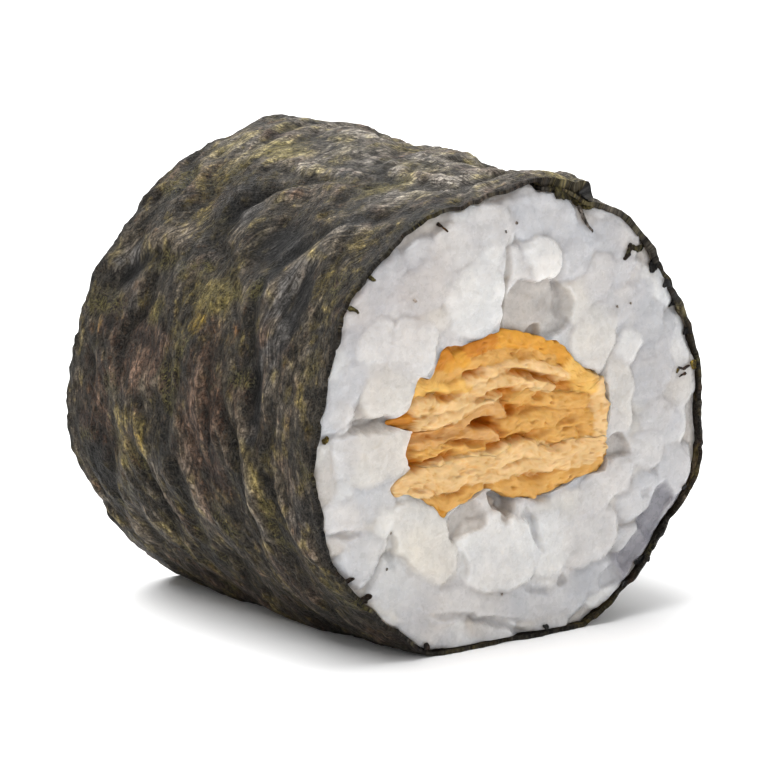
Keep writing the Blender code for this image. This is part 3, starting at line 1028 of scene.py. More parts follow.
@dataclass
class NoriWrap:
    """The nori sheet, rolled clockwise from its hidden end, with its wrinkles and its fibres."""

    form: RollForm
    finish: bpy.types.Material
    thickness: float = 0.25 * MM
    thickest: float = 1.20 * MM
    around: int = 392
    lengthwise: int = 108
    ruffle: float = 0.10 * MM
    short: float = 0.22 * MM
    nestle: float = 0.58
    bunching: float = 0.66
    bunch_reach: float = 0.02
    tip_hold: float = math.radians(1.2)
    tip_round: float = math.radians(5.2)
    tip_left: float = 0.05
    lap_fill: float = 0.97
    fill_fade: float = math.radians(2)
    corner: float = 44.0
    corner_reach: float = 22.0
    corner_extra: float = 0.20 * MM
    lump_rise: float = 0.22
    crease_rise: float = 0.14
    fine_rise: float = 0.10
    calm_sink: float = 0.15
    # Painted sheen for the brightest crests, the sheet's own tint, and painted light for the top of the
    # roll
    painted_sheen: Colour = (0.017, 0.0164, 0.0156)
    side_cast: Colour = (0.83, 0.765, 0.675)
    painted_top_light: Colour = (0.14, 0.18, 0.23)
    patches: tuple[Patch, ...] = SHOWN_PATCHES

    def relief(self, arc: Array, along: Array) -> tuple[Array, Array]:
        """The sheet's wrinkles.

        Args:
            arc: Millimetres round the sheet.
            along: Millimetres along it.

        Returns:
            Millimetres outwards, and how much each point lies on a crest, -1 to 1.
        """
        pull_round, lean = self.drape(arc, along)
        lumps = Noise(21, 2).at(pull_round / 5.0, lean / 3.0)
        creases = 1 - 2.4 * np.abs(Noise(31, 3).at(pull_round / 3.8, lean / 2.0))
        fine = 1 - 2.4 * np.abs(Noise(41, 2).at(pull_round / 1.5, lean / 0.95))
        calm = sum(
            patch.cover(arc, along, self.form) for patch in self.patches
            if patch.weed is Weed.CHARCOAL
        )
        calm = np.clip(calm, 0, 1)
        ridge, crease = self.folding(arc, along)
        raised = (1 - 0.8 * calm) * (self.crease_rise * creases + self.fine_rise * fine)
        raised = self.lump_rise * lumps + raised
        crest = 0.7 * lumps + 0.30 * (creases - 0.42) + 0.42 * (fine - 0.42)
        # The folds' ridges count as crests and their creases as hollows, for the painted light and shade
        # of the colour
        ridge_light = np.clip(ridge / 0.24, 0, 1.4)
        crease_shade = np.clip(crease / 0.26, 0, 1.4)
        raised = raised - self.calm_sink * calm + ridge - 0.8 * crease
        return raised, crest * (1 - 0.6 * calm) + 0.7 * ridge_light - 0.9 * crease_shade

    def folding(self, arc: Array, along: Array) -> tuple[Array, Array]:
        """The long folds, on the shown side and, turned end for end, on the other.

        Args:
            arc: Millimetres round the sheet.
            along: Millimetres along it.

        Returns:
            How high the ridges rise and how deep the creases go, in millimetres.
        """
        pulled = arc + 0.5 * Noise(13, 2).at(arc / 2.5, along / 2.5)
        lean = along + 0.4 * Noise(14, 2).at(arc / 2.5, along / 2.5)
        ridges = np.zeros(arc.shape)
        creases = np.zeros(arc.shape)
        for fold in SHOWN_FOLDS:
            other = tuple(((180 - turn) % 360, -place) for turn, place in fold.line)
            for one in (fold, Fold(other, fold.rise, fold.half_wide, fold.crease)):
                ridge, crease = one.shape(pulled, lean, self.form)
                ridges = np.maximum(ridges, fold.rise * ridge)
                creases = np.maximum(creases, fold.rise * crease)
        return ridges, creases

    @staticmethod
    def drape(arc: Array, along: Array) -> tuple[Array, Array]:
        """The sheet's own directions, which swirl where it was pulled over the grains.

        Args:
            arc: Millimetres round the sheet.
            along: Millimetres along it.

        Returns:
            The pulled place round and along the sheet.
        """
        pull_round = arc + 2.0 * Noise(11, 2).at(arc / 6.0, along / 5.0)
        pull_along = along + 1.4 * Noise(12, 2).at(arc / 5.0, along / 6.0) + 0.12 * arc
        return pull_round, pull_along

    def wrinkles(self, turned: Array, along: Array) -> tuple[Array, Array]:
        """The wrinkles at an angle turned from the hidden end, alike in both layers of the lap.

        Args:
            turned: Angle turned from the hidden end.
            along: Metres along the roll.

        Returns:
            Metres outwards, and how much each point lies on a crest.
        """
        form = self.form
        arc = (form.lap_end + form.lap_sweep - turned) * form.radius / MM
        raised, crest = self.relief(arc, along / MM)
        covered, _ = self.relief(arc - TAU * form.radius / MM, along / MM)
        share = ease(1 - (turned - form.lap_sweep) / math.radians(14))
        return (raised * (1 - share) + covered * share) * MM, crest

    def inner_side(self, angle: Array, along: Array) -> Array:
        """Radius of the sheet's inner side, where the rice ends.

        Args:
            angle: Angle round the roll.
            along: Metres along the roll.

        Returns:
            The radius at each point.
        """
        form = self.form
        turned = (form.lap_end + form.lap_sweep - angle) % TAU
        raised, _ = self.wrinkles(turned, along)
        start, _ = self.wrinkles(np.zeros_like(turned), along)
        last = ease((TAU - turned) / math.radians(3))
        climb = form.lift(TAU + form.lap_sweep - turned, along)
        raised = start + (raised - start) * last + climb * last
        nearest = (turned + math.pi) % TAU - math.pi
        sunk = self.nestle * form.sink(nearest, along)
        return form.outside(angle, along) - sunk - self.thickness + raised

    def weed_colours(self, arc: Array, along: Array, crest: Array) -> Array:
        """The sheet's colour at each point, with painted light and shade: lighter on crests, darker in
        hollows and creases, and lighter with a painted sheen on the top of the roll.

        Args:
            arc: Millimetres round the sheet.
            along: Millimetres along it.
            crest: How much each point lies on a wrinkle's crest.

        Returns:
            A row of three linear values for each point.
        """
        colours = np.empty((len(arc), 3))
        colours[:] = Weed.PLAIN.value

        def blend(weed: Weed, share: Array) -> None:
            """Moves the colours towards a weed's.

            Args:
                weed: The colour to reach.
                share: How far to go at each point, 0 to 1.
            """
            part = np.clip(share, 0, 1)[:, None]
            colours[:] = colours * (1 - part) + np.array(weed.value) * part

        pull_round, lean = self.drape(arc, along)
        torn = Noise(61, 2).at(pull_round / 1.6, lean / 1.0)
        cast = Noise(51, 3).at(arc / 5, along / 4)
        dusk = Noise(53, 2).at(arc / 5, along / 3)
        green = Noise(52, 2).at(arc / 3.4, along / 3.0)
        blend(Weed.BROWN, ease((cast - 0.02 + 0.4 * torn) * 2.2) * 0.8)
        blend(Weed.CHARCOAL, ease((dusk - 0.22 + 0.4 * torn) * 3.0) * 0.8)
        blend(Weed.OLIVE, ease((green - 0.20 + 0.7 * torn) * 3.0) * 0.8)
        flecks = Noise(58, 2).at(arc / 1.1, along / 0.8)
        blend(Weed.OLIVE, ease((flecks - 0.22) * 5) * 0.6)
        blend(Weed.RUST, ease((-flecks - 0.38) * 6) * 0.12)
        for patch in self.patches:
            ragged = 1.25 * patch.cover(arc, along, self.form) - 0.25
            blend(patch.weed, ease(ragged + 1.1 * torn * (ragged > -0.2)) * patch.strength)
        mottle = 1.2 * Noise(55, 3).at(pull_round / 1.3, lean / 0.75)
        mottle += 0.9 * Noise(57, 2).at(arc / 0.7, along / 0.6)
        broad = 0.7 * Noise(56, 2).at(arc / 6.5, along / 4.5)
        edge = ease((np.abs(along) - self.form.half / MM + 0.4) / 0.3)
        # Painted light and shade: lighter on crests, darker in hollows, with the sheet's own random
        # mottle
        shine = np.exp((1.5 * crest + mottle + broad) * (1 - 0.6 * edge))
        # Painted light on the top of the roll, which also gets more painted sheen
        lit_top = ease((self.form.unroll(118) - arc) / 3.0) + ease((arc - self.form.unroll(15)) / 3.0)
        shine = shine * (1 + 0.75 * lit_top)
        # Painted sheen where the colour is painted brightest
        painted_sheen = np.clip(shine - 1.3, 0, 2.4) * (1 + 1.3 * lit_top)
        painted_sheen = painted_sheen[:, None] * np.array(self.painted_sheen)
        rim = 1 - 0.55 * edge
        tint_and_top_light = np.array(self.side_cast) + lit_top[:, None] * np.array(self.painted_top_light)
        return tint_and_top_light * rim[:, None] * (colours * np.clip(shine, 0.10, 3.4)[:, None] + painted_sheen)

    def fuzz(self, arc: Array, along: Array, crest: Array) -> Array:
        """How thick the loose fibres lie: most where the sheet is olive, least on smooth folds.

        Args:
            arc: Millimetres round the sheet.
            along: Millimetres along it.
            crest: How much each point lies on a wrinkle's crest.

        Returns:
            0 to 1 at each point.
        """
        loose = 0.45 + 0.55 * ease((Noise(52, 2).at(arc / 3.2, along / 3.2) - 0.15) * 3.0)
        loose = loose - 0.35 * ease(crest - 0.2)
        for patch in self.patches:
            cover = np.clip(patch.cover(arc, along, self.form), 0, 1)
            if patch.weed in (Weed.OLIVE, Weed.YELLOW):
                loose = np.maximum(loose, cover)
            if patch.weed in (Weed.CHARCOAL, Weed.PAINTED_SHEEN):
                loose = loose * (1 - 0.8 * cover)
        return np.clip(loose, 0, 1)

    def grain(self, arc: Array, along: Array) -> Array:
        """A measure across the fibres, which run along the roll on top and round it at the side.

        Args:
            arc: Millimetres round the sheet.
            along: Millimetres along it.

        Returns:
            Hundredths of a millimetre across the fibres at each point.
        """
        turns = [self.form.unroll(turn) for turn in (66, 108, 120, 131, 141, 150, 160, 175, 359)]
        leans = (-2.2, -2.2, -1.4, -1.0, -0.5, 0.2, 0.4, 0.0, 0.0)
        steps = [0.0]
        for number in range(1, len(turns)):
            mean = (leans[number] + leans[number - 1]) / 2
            steps.append(steps[-1] + mean * (turns[number] - turns[number - 1]))
        swirl = 1.1 * Noise(15, 2).at(arc / 4.0, along / 4.0)
        return UV_PER_MM * (along + np.interp(arc, turns, steps) + swirl)

    def build(self) -> bpy.types.Object:
        """Rolls the sheet up from a flat grid.

        Returns:
            The finished sheet.
        """
        form = self.form
        sheet = new_grid("nori_sheet", self.around, self.lengthwise)
        flat = read_points(sheet)
        left = 0.5 - flat[:, 0]
        left = left * (1 - self.bunching * np.exp(-left / self.bunch_reach))
        sweep = TAU + form.lap_sweep
        turned = (1 - left) * sweep
        angle = form.lap_end + form.lap_sweep - turned
        ragged = np.sin(17 * angle + 0.5) + 0.6 * np.sin(29 * angle)
        ragged += 1.0 * Noise(71, 3).at(angle * 20, np.sign(flat[:, 1]) * 4 + 0.4)
        ragged += 0.8 * Noise(72, 2).at(angle * 55, np.sign(flat[:, 1]) * 4 + 0.4)
        short = self.short * ease(0.3 + np.cos(angle))
        along = flat[:, 1] * (form.length - short + 2 * self.ruffle * ragged)
        lift = form.lift(np.maximum(sweep - turned, self.tip_hold), along)
        near_end = np.clip(1 - (sweep - turned) / self.tip_round, 0, 1)
        lift = lift * (self.tip_left + (1 - self.tip_left) * np.sqrt(1 - near_end * near_end))
        arc = angle * form.radius / MM
        raised, crest = self.wrinkles(turned, along)
        outer_skin = form.outside(angle, along) - self.nestle * form.sink(turned, along) + lift + raised
        write_points(sheet, form.points(outer_skin, angle, along, 0.0))
        paint(sheet, "weed", self.weed_colours(arc, along / MM, crest))
        measure(sheet, "fuzz", self.fuzz(arc, along / MM, crest))
        measure(sheet, "grain", self.grain(arc, along / MM))
        lay_flat(sheet, np.column_stack([arc, along / MM]))
        doubled = sheet.vertex_groups.new(name="thick at the lap")
        over_end = ease(1 - (sweep - turned - form.lap_sweep) / self.fill_fade)
        wanted = np.maximum(self.thickness, self.lap_fill * lift * over_end)
        off_corner = np.abs((np.degrees(angle) - self.corner + 180) % 360 - 180)
        swollen = ease(1.4 - off_corner / self.corner_reach) * (turned > form.lap_sweep)
        wanted += self.corner_extra * swollen
        share_thin = self.thickness / self.thickest
        weights = (np.minimum(wanted / self.thickest, 1) - share_thin) / (1 - share_thin)
        for index in np.flatnonzero(weights > 0.005):
            doubled.add([int(index)], float(weights[index]), "REPLACE")
        thicken(sheet, self.thickest, -1.0, doubled.name, share_thin)
        hand_over(sheet, "nori", self.finish)
        return sheet


@dataclass(frozen=True)
class Tatter:
    """A shred of nori that lies on the rice: a bent line and its half width, in millimetres."""

    line: tuple[tuple[float, float], ...]
    half_wide: float
    weed: Weed = Weed.CHARCOAL
    shade: float = 0.55


# The shreds that can be told apart on the shown face, from the lap round to the left
TATTERS = (
    Tatter(((3.2, 14.15), (4.6, 13.9), (5.9, 13.35)), 0.34, Weed.OLIVE, 0.5),
    Tatter(((5.0, 13.7), (5.7, 13.2), (6.3, 12.9)), 0.42, Weed.OLIVE, 0.9),
    Tatter(((5.2, 13.2), (5.4, 12.4), (5.8, 11.8), (6.1, 11.4)), 0.12, Weed.SPECK, 0.6),
    Tatter(((10.6, 9.9), (9.9, 9.9), (9.3, 10.1), (8.8, 9.6)), 0.20, Weed.OLIVE, 0.35),
    Tatter(((9.3, 10.3), (9.1, 9.7), (8.6, 9.4)), 0.16, Weed.BROWN),
    Tatter(((11.7, 9.0), (11.2, 8.5), (11.0, 8.3)), 0.30),
    Tatter(((12.4, 7.6), (11.9, 7.3)), 0.28),
    Tatter(((13.2, 6.2), (12.7, 5.9)), 0.22),
    Tatter(((14.4, 4.2), (13.8, 4.0)), 0.24),
    Tatter(((14.2, 1.9), (13.7, 1.8), (13.3, 1.9)), 0.07, Weed.BROWN, 0.9),
    Tatter(((13.9, 1.5), (13.4, 1.3)), 0.05, Weed.BROWN, 0.9),
    Tatter(((14.5, 2.2), (14.6, 1.6)), 0.22, Weed.YELLOW),
    Tatter(((14.1, -5.9), (13.6, -6.0)), 0.20),
    Tatter(((11.4, -10.2), (10.6, -10.3), (10.1, -10.5)), 0.28),
    Tatter(((9.4, -11.8), (8.9, -11.5)), 0.25),
    Tatter(((3.0, -13.6), (2.6, -13.3)), 0.14),
    Tatter(((-6.4, -13.6), (-6.6, -13.0)), 0.24, Weed.BROWN),
    Tatter(((-11.1, -9.8), (-10.7, -9.3)), 0.22, Weed.BROWN),
    Tatter(((-12.6, -8.4), (-12.1, -8.0)), 0.20, Weed.BROWN),
    Tatter(((-14.2, 0.6), (-13.8, 0.9)), 0.18, Weed.YELLOW),
    Tatter(((-12.4, 8.7), (-12.0, 8.55), (-11.75, 8.3)), 0.13, Weed.OLIVE, 0.7),
    Tatter(((-10.9, 10.4), (-10.5, 10.2)), 0.14, Weed.OLIVE, 0.7),
    Tatter(((-5.5, 13.1), (-5.2, 12.8)), 0.10, Weed.BROWN, 1.2),
    Tatter(((-0.7, 12.2), (-0.65, 12.1)), 0.05, Weed.SPECK, 1.3),
    Tatter(((0.2, 12.6), (0.15, 12.5)), 0.05, Weed.SPECK, 1.3),
    Tatter(((-7.7, 8.7), (-7.5, 8.55)), 0.07, Weed.SPECK, 1.3),
    Tatter(((-5.2, 12.8), (-5.1, 12.6)), 0.05, Weed.RUST, 0.5),
    Tatter(((8.1, 6.5), (8.15, 6.4)), 0.05, Weed.SPECK, 1.3),
    Tatter(((9.2, 6.6), (9.25, 6.5)), 0.05, Weed.SPECK, 1.3),
    Tatter(((-9.3, -5.6), (-9.3, -5.7)), 0.05, Weed.SPECK, 1.3),
    Tatter(((-9.6, -7.8), (-9.6, -7.9)), 0.05, Weed.SPECK, 1.3),
    Tatter(((-0.8, -10.7), (-0.8, -10.8)), 0.06, Weed.SPECK, 1.3),
    Tatter(((13.3, 1.8), (13.1, 1.6)), 0.08, Weed.YELLOW),
)


@dataclass
class NoriTatters:
    """Small ragged shreds that hang from the wrapper's rim or stick to the rice."""

    rice: "RiceHeap"
    finish: bpy.types.Material
    thickness: float = 0.10 * MM
    lengthwise: int = 16
    across: int = 8

    def build_one(self, number: int, tatter: Tatter) -> bpy.types.Object:
        """Lays one shred along its line.

        Args:
            number: Its place in the row, which makes each one ragged in its own way.
            tatter: The shred.

        Returns:
            The shred as a thin sheet.
        """
        shred = new_grid(f"shred_{number}", self.lengthwise, self.across)
        flat = read_points(shred)
        knots = np.array(tatter.line)
        steps = np.concatenate([[0.0], np.cumsum(np.hypot(*np.diff(knots, axis=0).T))])
        walk = (flat[:, 0] + 0.5) * steps[-1]
        middle = np.column_stack([np.interp(walk, steps, column) for column in knots.T])
        run = knots[-1] - knots[0]
        side = np.array([-run[1], run[0]]) / np.hypot(*run)
        torn = 1 + 0.5 * Noise(300 + number, 2).at(walk / 0.35, np.sign(flat[:, 1]) * 3.0)
        taper = np.sqrt(np.clip(1 - (2 * np.abs(flat[:, 0])) ** 6, 0.02, 1))
        taper = taper * (1.25 - 0.75 * (flat[:, 0] + 0.5))
        middle = middle + side * (flat[:, 1] * 2 * tatter.half_wide * torn * taper)[:, None]
        middle += 0.06 * np.column_stack([
            Noise(330 + number).at(middle[:, 0] / 0.3, middle[:, 1] / 0.3),
            Noise(360 + number).at(middle[:, 0] / 0.3, middle[:, 1] / 0.3),
        ])
        stand = self.rice.surface(middle[:, 0], middle[:, 1])
        stand += 0.05 + 0.05 * Noise(390 + number, 2).at(walk / 0.4, flat[:, 1] * 2)
        form = self.rice.form
        write_points(shred, np.column_stack([
            middle[:, 0] * MM,
            -form.half - stand * MM - self.thickness / 2,
            form.rest_height + middle[:, 1] * MM,
        ]))
        colour = np.tile(np.array(tatter.weed.value) * tatter.shade, (len(flat), 1))
        mottle = 1 + 0.5 * Noise(420 + number, 2).at(walk / 0.3, flat[:, 1] * 3)
        paint(shred, "weed", colour * mottle[:, None])
        measure(shred, "fuzz", np.full(len(flat), 0.3))
        measure(shred, "grain", middle[:, 0] * UV_PER_MM)
        lay_flat(shred, middle)
        thicken(shred, self.thickness, 0.0)
        return shred

    def build(self) -> bpy.types.Object:
        """Lays every shred and joins them.

        Returns:
            All the shreds as one piece.
        """
        shreds = [self.build_one(number, tatter) for number, tatter in enumerate(TATTERS)]
        deselect()
        for shred in shreds:
            shred.select_set(True)
        bpy.context.view_layer.objects.active = shreds[0]
        bpy.ops.object.join()
        joined = bpy.context.object
        joined.name = "nori_shreds"
        joined.data.name = joined.name
        hand_over(joined, "nori", self.finish)
        return joined


@dataclass(frozen=True)
class Plate:
    """A grain on a cut face, sliced flat: where it lies, its half sizes and how far it stands out.

    Millimetres and degrees, across and up from the middle line.
    """

    across: float
    up: float
    half_long: float
    half_wide: float
    turn: float = 0.0
    stand: float = 0.0
    starch: Starch = Starch.PLAIN
    crown: float = 0.12
    boxy: float = 2.4

    def height(self, across: Array, up: Array) -> Array:
        """How far the grain's surface stands out of the cut.

        Args:
            across: Millimetres across the face.
            up: Millimetres up it.

        Returns:
            Millimetres, falling steeply outside the grain.
        """
        turn = math.radians(self.turn)
        right = across - self.across
        over = up - self.up
        long = (right * math.cos(turn) + over * math.sin(turn)) / self.half_long
        wide = (over * math.cos(turn) - right * math.sin(turn)) / self.half_wide
        out = (np.abs(long) ** self.boxy + np.abs(wide) ** self.boxy + 1e-9) ** (1 / self.boxy)
        past = (out - 1) * min(self.half_long, self.half_wide)
        dome = 0.7 * self.crown * (1 - np.minimum(out, 1.5) ** 2)
        return 0.5 * self.stand + dome - 1.5 * slope_off(past, 0.09)


# The grains that can be told apart on the shown face, from the top round to the right
SHOWN_PLATES = (
    Plate(2.25, 10.1, 1.45, 1.25, -25, 0.75, Starch.BRIGHT, 0.3, 2.1),
    Plate(0.7, 9.9, 1.7, 1.0, -12, 0.25),
    Plate(2.1, 12.9, 2.4, 1.35, 5, 0.05, Starch.COOL),
    Plate(4.0, 12.1, 1.2, 1.0, 30, 0.15, Starch.COOL),
    Plate(-1.6, 12.4, 1.9, 1.4, -10, 0.12),
    Plate(-4.3, 11.3, 2.4, 1.6, 25, 0.10),
    Plate(-2.9, 8.1, 2.4, 2.35, 10, 0.24, Starch.BRIGHT, 0.2),
    Plate(-1.9, 10.6, 1.7, 1.1, 70, 0.2, Starch.BRIGHT),
    Plate(-6.6, 9.3, 2.4, 1.5, 20, 0.16),
    Plate(-6.9, 11.2, 1.3, 0.9, 40, -0.05, Starch.COOL),
    Plate(-9.6, 9.8, 1.9, 1.3, 45, 0.0, Starch.COOL),
    Plate(-7.6, 5.6, 1.9, 1.9, -15, 0.30, Starch.BRIGHT, 0.18),
    Plate(-6.2, 7.2, 1.5, 0.9, 10, 0.12, Starch.CREAM),
    Plate(-10.4, 6.1, 1.9, 1.3, 60, 0.16, Starch.BRIGHT),
    Plate(-12.0, 6.6, 1.3, 0.7, 70, -0.12, Starch.GREY_SHADED),
    Plate(-9.2, 3.4, 2.1, 1.75, 5, 0.20, Starch.CREAM, 0.2),
    Plate(-12.2, 4.0, 1.5, 1.1, 55, 0.10, Starch.COOL),
    Plate(-13.0, 2.2, 0.9, 0.8, 20, 0.02),
    Plate(-10.2, -0.7, 2.75, 1.75, 2, 0.30, Starch.CREAM, 0.24),
    Plate(-12.6, -0.2, 1.6, 1.1, 80, 0.26),
    Plate(-13.9, -1.6, 1.7, 0.8, 85, -0.12, Starch.WARM_SHADED),
    Plate(-10.5, -3.2, 1.8, 1.3, 20, 0.16, Starch.COOL),
    Plate(-12.7, -4.1, 1.4, 1.05, 10, 0.20),
    Plate(-13.0, -5.7, 1.0, 0.6, 30, -0.3, Starch.WARM_SHADED),
    Plate(-11.4, -6.6, 1.5, 1.4, 60, 0.05, Starch.COOL),
    Plate(-8.7, -4.9, 1.9, 1.0, 10, 0.22, Starch.BRIGHT),
    Plate(-6.6, -6.6, 3.1, 1.7, -52, 0.34, Starch.CREAM, 0.16, 2.8),
    Plate(-9.3, -8.9, 1.5, 1.1, 60, 0.0, Starch.COOL),
    Plate(-7.3, -9.9, 1.8, 1.6, 20, 0.06, Starch.COOL),
    Plate(-7.6, -11.9, 1.3, 1.0, 30, -0.25, Starch.GREY_SHADED),
    Plate(-4.6, -10.9, 2.4, 1.15, 0, 0.10),
    Plate(-5.0, -12.9, 1.2, 0.8, 0, -0.30, Starch.GREY_SHADED),
    Plate(-2.6, -12.8, 1.1, 0.7, -15, -0.30, Starch.WARM_SHADED),
    Plate(-3.6, -5.9, 1.4, 1.2, 40, -0.75, Starch.WARM_SHADED),
    Plate(-2.4, -5.6, 0.9, 1.3, -20, -0.25, Starch.CREAM),
    Plate(-1.0, -8.1, 3.2, 2.35, -8, 0.52, Starch.BRIGHT, 0.16, 2.8),
    Plate(3.1, -8.0, 1.6, 2.1, 0, 0.44, Starch.BRIGHT, 0.12),
    Plate(5.8, -7.9, 2.7, 2.0, 5, 0.28),
    Plate(3.9, -5.9, 2.1, 1.0, 12, 0.22, Starch.CREAM),
    Plate(7.2, -5.1, 2.5, 1.25, 24, 0.34, Starch.PLAIN, 0.18),
    Plate(10.2, -5.9, 1.7, 1.1, 35, 0.12, Starch.COOL),
    Plate(13.0, -4.7, 1.7, 1.35, 80, 0.12, Starch.COOL, 0.2),
    Plate(11.6, -7.7, 1.9, 0.9, 45, -0.45, Starch.SLATE_SHADE),
    Plate(12.9, -6.3, 1.6, 0.7, 60, -0.35, Starch.SLATE_SHADE),
    Plate(10.4, -9.3, 1.3, 0.7, 45, -0.40, Starch.SLATE_SHADE),
    Plate(9.4, -8.8, 1.2, 0.9, 10, -0.2, Starch.GREY_SHADED),
    Plate(8.6, -10.7, 1.2, 0.9, 25, -0.35, Starch.SLATE_SHADE),
    Plate(6.2, -10.9, 2.0, 1.0, 10, -0.06, Starch.GREY_SHADED),
    Plate(3.6, -11.8, 1.5, 1.0, 20, -0.1, Starch.COOL),
    Plate(1.2, -11.6, 2.1, 1.2, -6, 0.02, Starch.COOL),
    Plate(-1.3, -11.5, 1.3, 0.9, 10, 0.0),
    Plate(8.5, 0.6, 2.6, 1.15, 88, 0.14, Starch.CREAM, 0.1, 3.4),
    Plate(6.4, 4.7, 1.75, 1.95, -20, 0.30, Starch.CREAM, 0.2),
    Plate(9.2, 3.8, 1.2, 0.9, 60, 0.24, Starch.BRIGHT),
    Plate(11.2, 1.9, 2.1, 1.5, 80, 0.0, Starch.COOL),
    Plate(11.6, -1.2, 1.5, 1.2, 60, 0.12),
    Plate(10.7, -3.0, 1.5, 1.2, 0, 0.2),
    Plate(12.9, -1.8, 1.2, 0.8, 70, -0.05, Starch.COOL),
    Plate(10.9, 5.0, 1.6, 1.2, 70, -0.05, Starch.GREY_SHADED),
    Plate(12.4, 4.2, 1.3, 0.7, 80, -0.12, Starch.GREY_SHADED),
    Plate(8.3, 6.6, 1.6, 1.3, 30, 0.08),
    Plate(8.4, 8.8, 1.3, 1.1, 40, 0.05, Starch.COOL),
    Plate(6.7, 8.3, 1.6, 1.2, 70, 0.18),
    Plate(5.3, 7.0, 1.0, 1.5, 10, 0.16, Starch.CREAM),
    Plate(7.2, 11.0, 1.6, 1.1, -25, -0.05, Starch.GREY_SHADED),
    Plate(5.2, 10.4, 1.1, 1.7, -10, 0.12, Starch.COOL),
    Plate(5.9, 12.2, 1.1, 0.6, -20, -0.15, Starch.WARM_SHADED),
    Plate(10.2, 6.9, 1.3, 0.9, 60, -0.1, Starch.COOL),
    Plate(3.2, 6.9, 1.5, 1.4, 80, -0.60, Starch.WARM_SHADED),
    Plate(1.0, 7.1, 1.1, 1.5, 10, -0.45, Starch.WARM_SHADED),
    Plate(4.3, 5.6, 0.8, 0.7, 0, -0.5, Starch.WARM_SHADED),
)

# The loose grain that stands out of the far face
FAR_PLATES = (Plate(-9.6, -9.2, 1.6, 1.4, 45, 1.9, Starch.CREAM, 0.5),)


@dataclass(frozen=True)
class Hollow:
    """A place on a cut face where grains are missing: millimetres, degrees, how deep it is, and the
    colour of the painted shade on its floor, if any.
    """

    across: float
    up: float
    half_long: float
    half_wide: float
    turn: float
    depth: float
    starch: Starch | None = None

    def drop(self, across: Array, up: Array) -> Array:
        """How deep the hollow is at each point.

        Args:
            across: Millimetres across the face.
            up: Millimetres up it.

        Returns:
            Millimetres, inwards.
        """
        plate = Plate(self.across, self.up, self.half_long, self.half_wide, self.turn, 0.0,
                      Starch.WARM_SHADED, 0.0, 3.0)
        return self.depth * ease(1 + plate.height(across, up) / 0.35)


@dataclass(frozen=True)
class BroadShading:
    """A broad soft patch of painted light or shade over the shown face: its place and reach in
    millimetres, and its change.
    """

    across: float
    up: float
    reach: float
    change: Colour

    def share(self, across: Array, up: Array) -> Array:
        """How much of the cast lies at each point, 0 to 1."""
        off = (across - self.across) ** 2 + (up - self.up) ** 2
        return np.exp(-off / self.reach**2)


# Broad painted light and shade over the shown face: parts painted darker, paler or warmer as a whole
SHOWN_BROAD_SHADING = (
    BroadShading(-9.5, 8.5, 3.8, (-0.09, -0.13, -0.15)),
    BroadShading(11.0, 1.5, 4.0, (-0.13, -0.13, -0.12)),
    BroadShading(7.5, 9.5, 3.0, (-0.04, -0.05, -0.05)),
    BroadShading(-9.0, -7.0, 3.5, (0.10, 0.09, 0.05)),
    BroadShading(-6.0, 0.0, 2.5, (0.02, 0.00, -0.04)),
)

# The places on the shown face where grains are missing, and the narrow cracks; many have painted shade
# on their floors
SHOWN_HOLLOWS = (
    Hollow(11.6, -7.3, 1.6, 0.75, 57, 0.25, Starch.SLATE_SHADE),
    Hollow(9.7, -9.6, 1.0, 0.6, 45, 0.25, Starch.SLATE_SHADE),
    Hollow(7.9, -10.9, 0.6, 0.4, 20, 0.2, Starch.GREY_SHADED),
    Hollow(2.0, 6.9, 2.5, 1.75, 2, 0.45, Starch.SHADE),
    Hollow(-3.5, -5.6, 1.2, 0.9, 20, 0.3, Starch.WARM_SHADED),
    Hollow(-0.6, 7.3, 1.8, 0.12, 86, 0.5, Starch.SHADE),
    Hollow(1.9, 5.4, 0.45, 0.3, 0, 0.5, Starch.SHADE),
    Hollow(-10.5, 1.15, 1.2, 0.30, -4, 0.5, Starch.SHADE),
    Hollow(-12.7, 1.0, 1.1, 0.08, 4, 0.25),
    Hollow(-9.2, -6.7, 0.28, 0.75, 0, 0.25),
    Hollow(-12.8, -5.25, 0.6, 0.1, 0, 0.4),
    Hollow(-0.6, -4.9, 1.0, 0.7, -35, 0.9, Starch.SHADE),
    Hollow(1.75, -7.0, 0.9, 0.22, -65, 0.4),
    Hollow(-0.5, -5.9, 0.35, 0.25, 45, 0.4, Starch.SHADE),
    Hollow(8.5, -2.6, 0.85, 0.62, -4, 0.5, Starch.WARM_SHADED),
    Hollow(-2.4, -12.1, 1.5, 0.1, -12, 0.4),
    Hollow(-0.7, -12.8, 0.8, 0.1, -20, 0.4),
    Hollow(2.1, -10.8, 0.5, 0.10, -8, 0.25),
    Hollow(4.1, -10.6, 0.22, 0.18, 20, 0.35),
    Hollow(-3.9, -8.6, 0.3, 0.7, 10, 0.3),
    Hollow(10.8, -5.8, 0.4, 0.25, 10, 0.2),
)


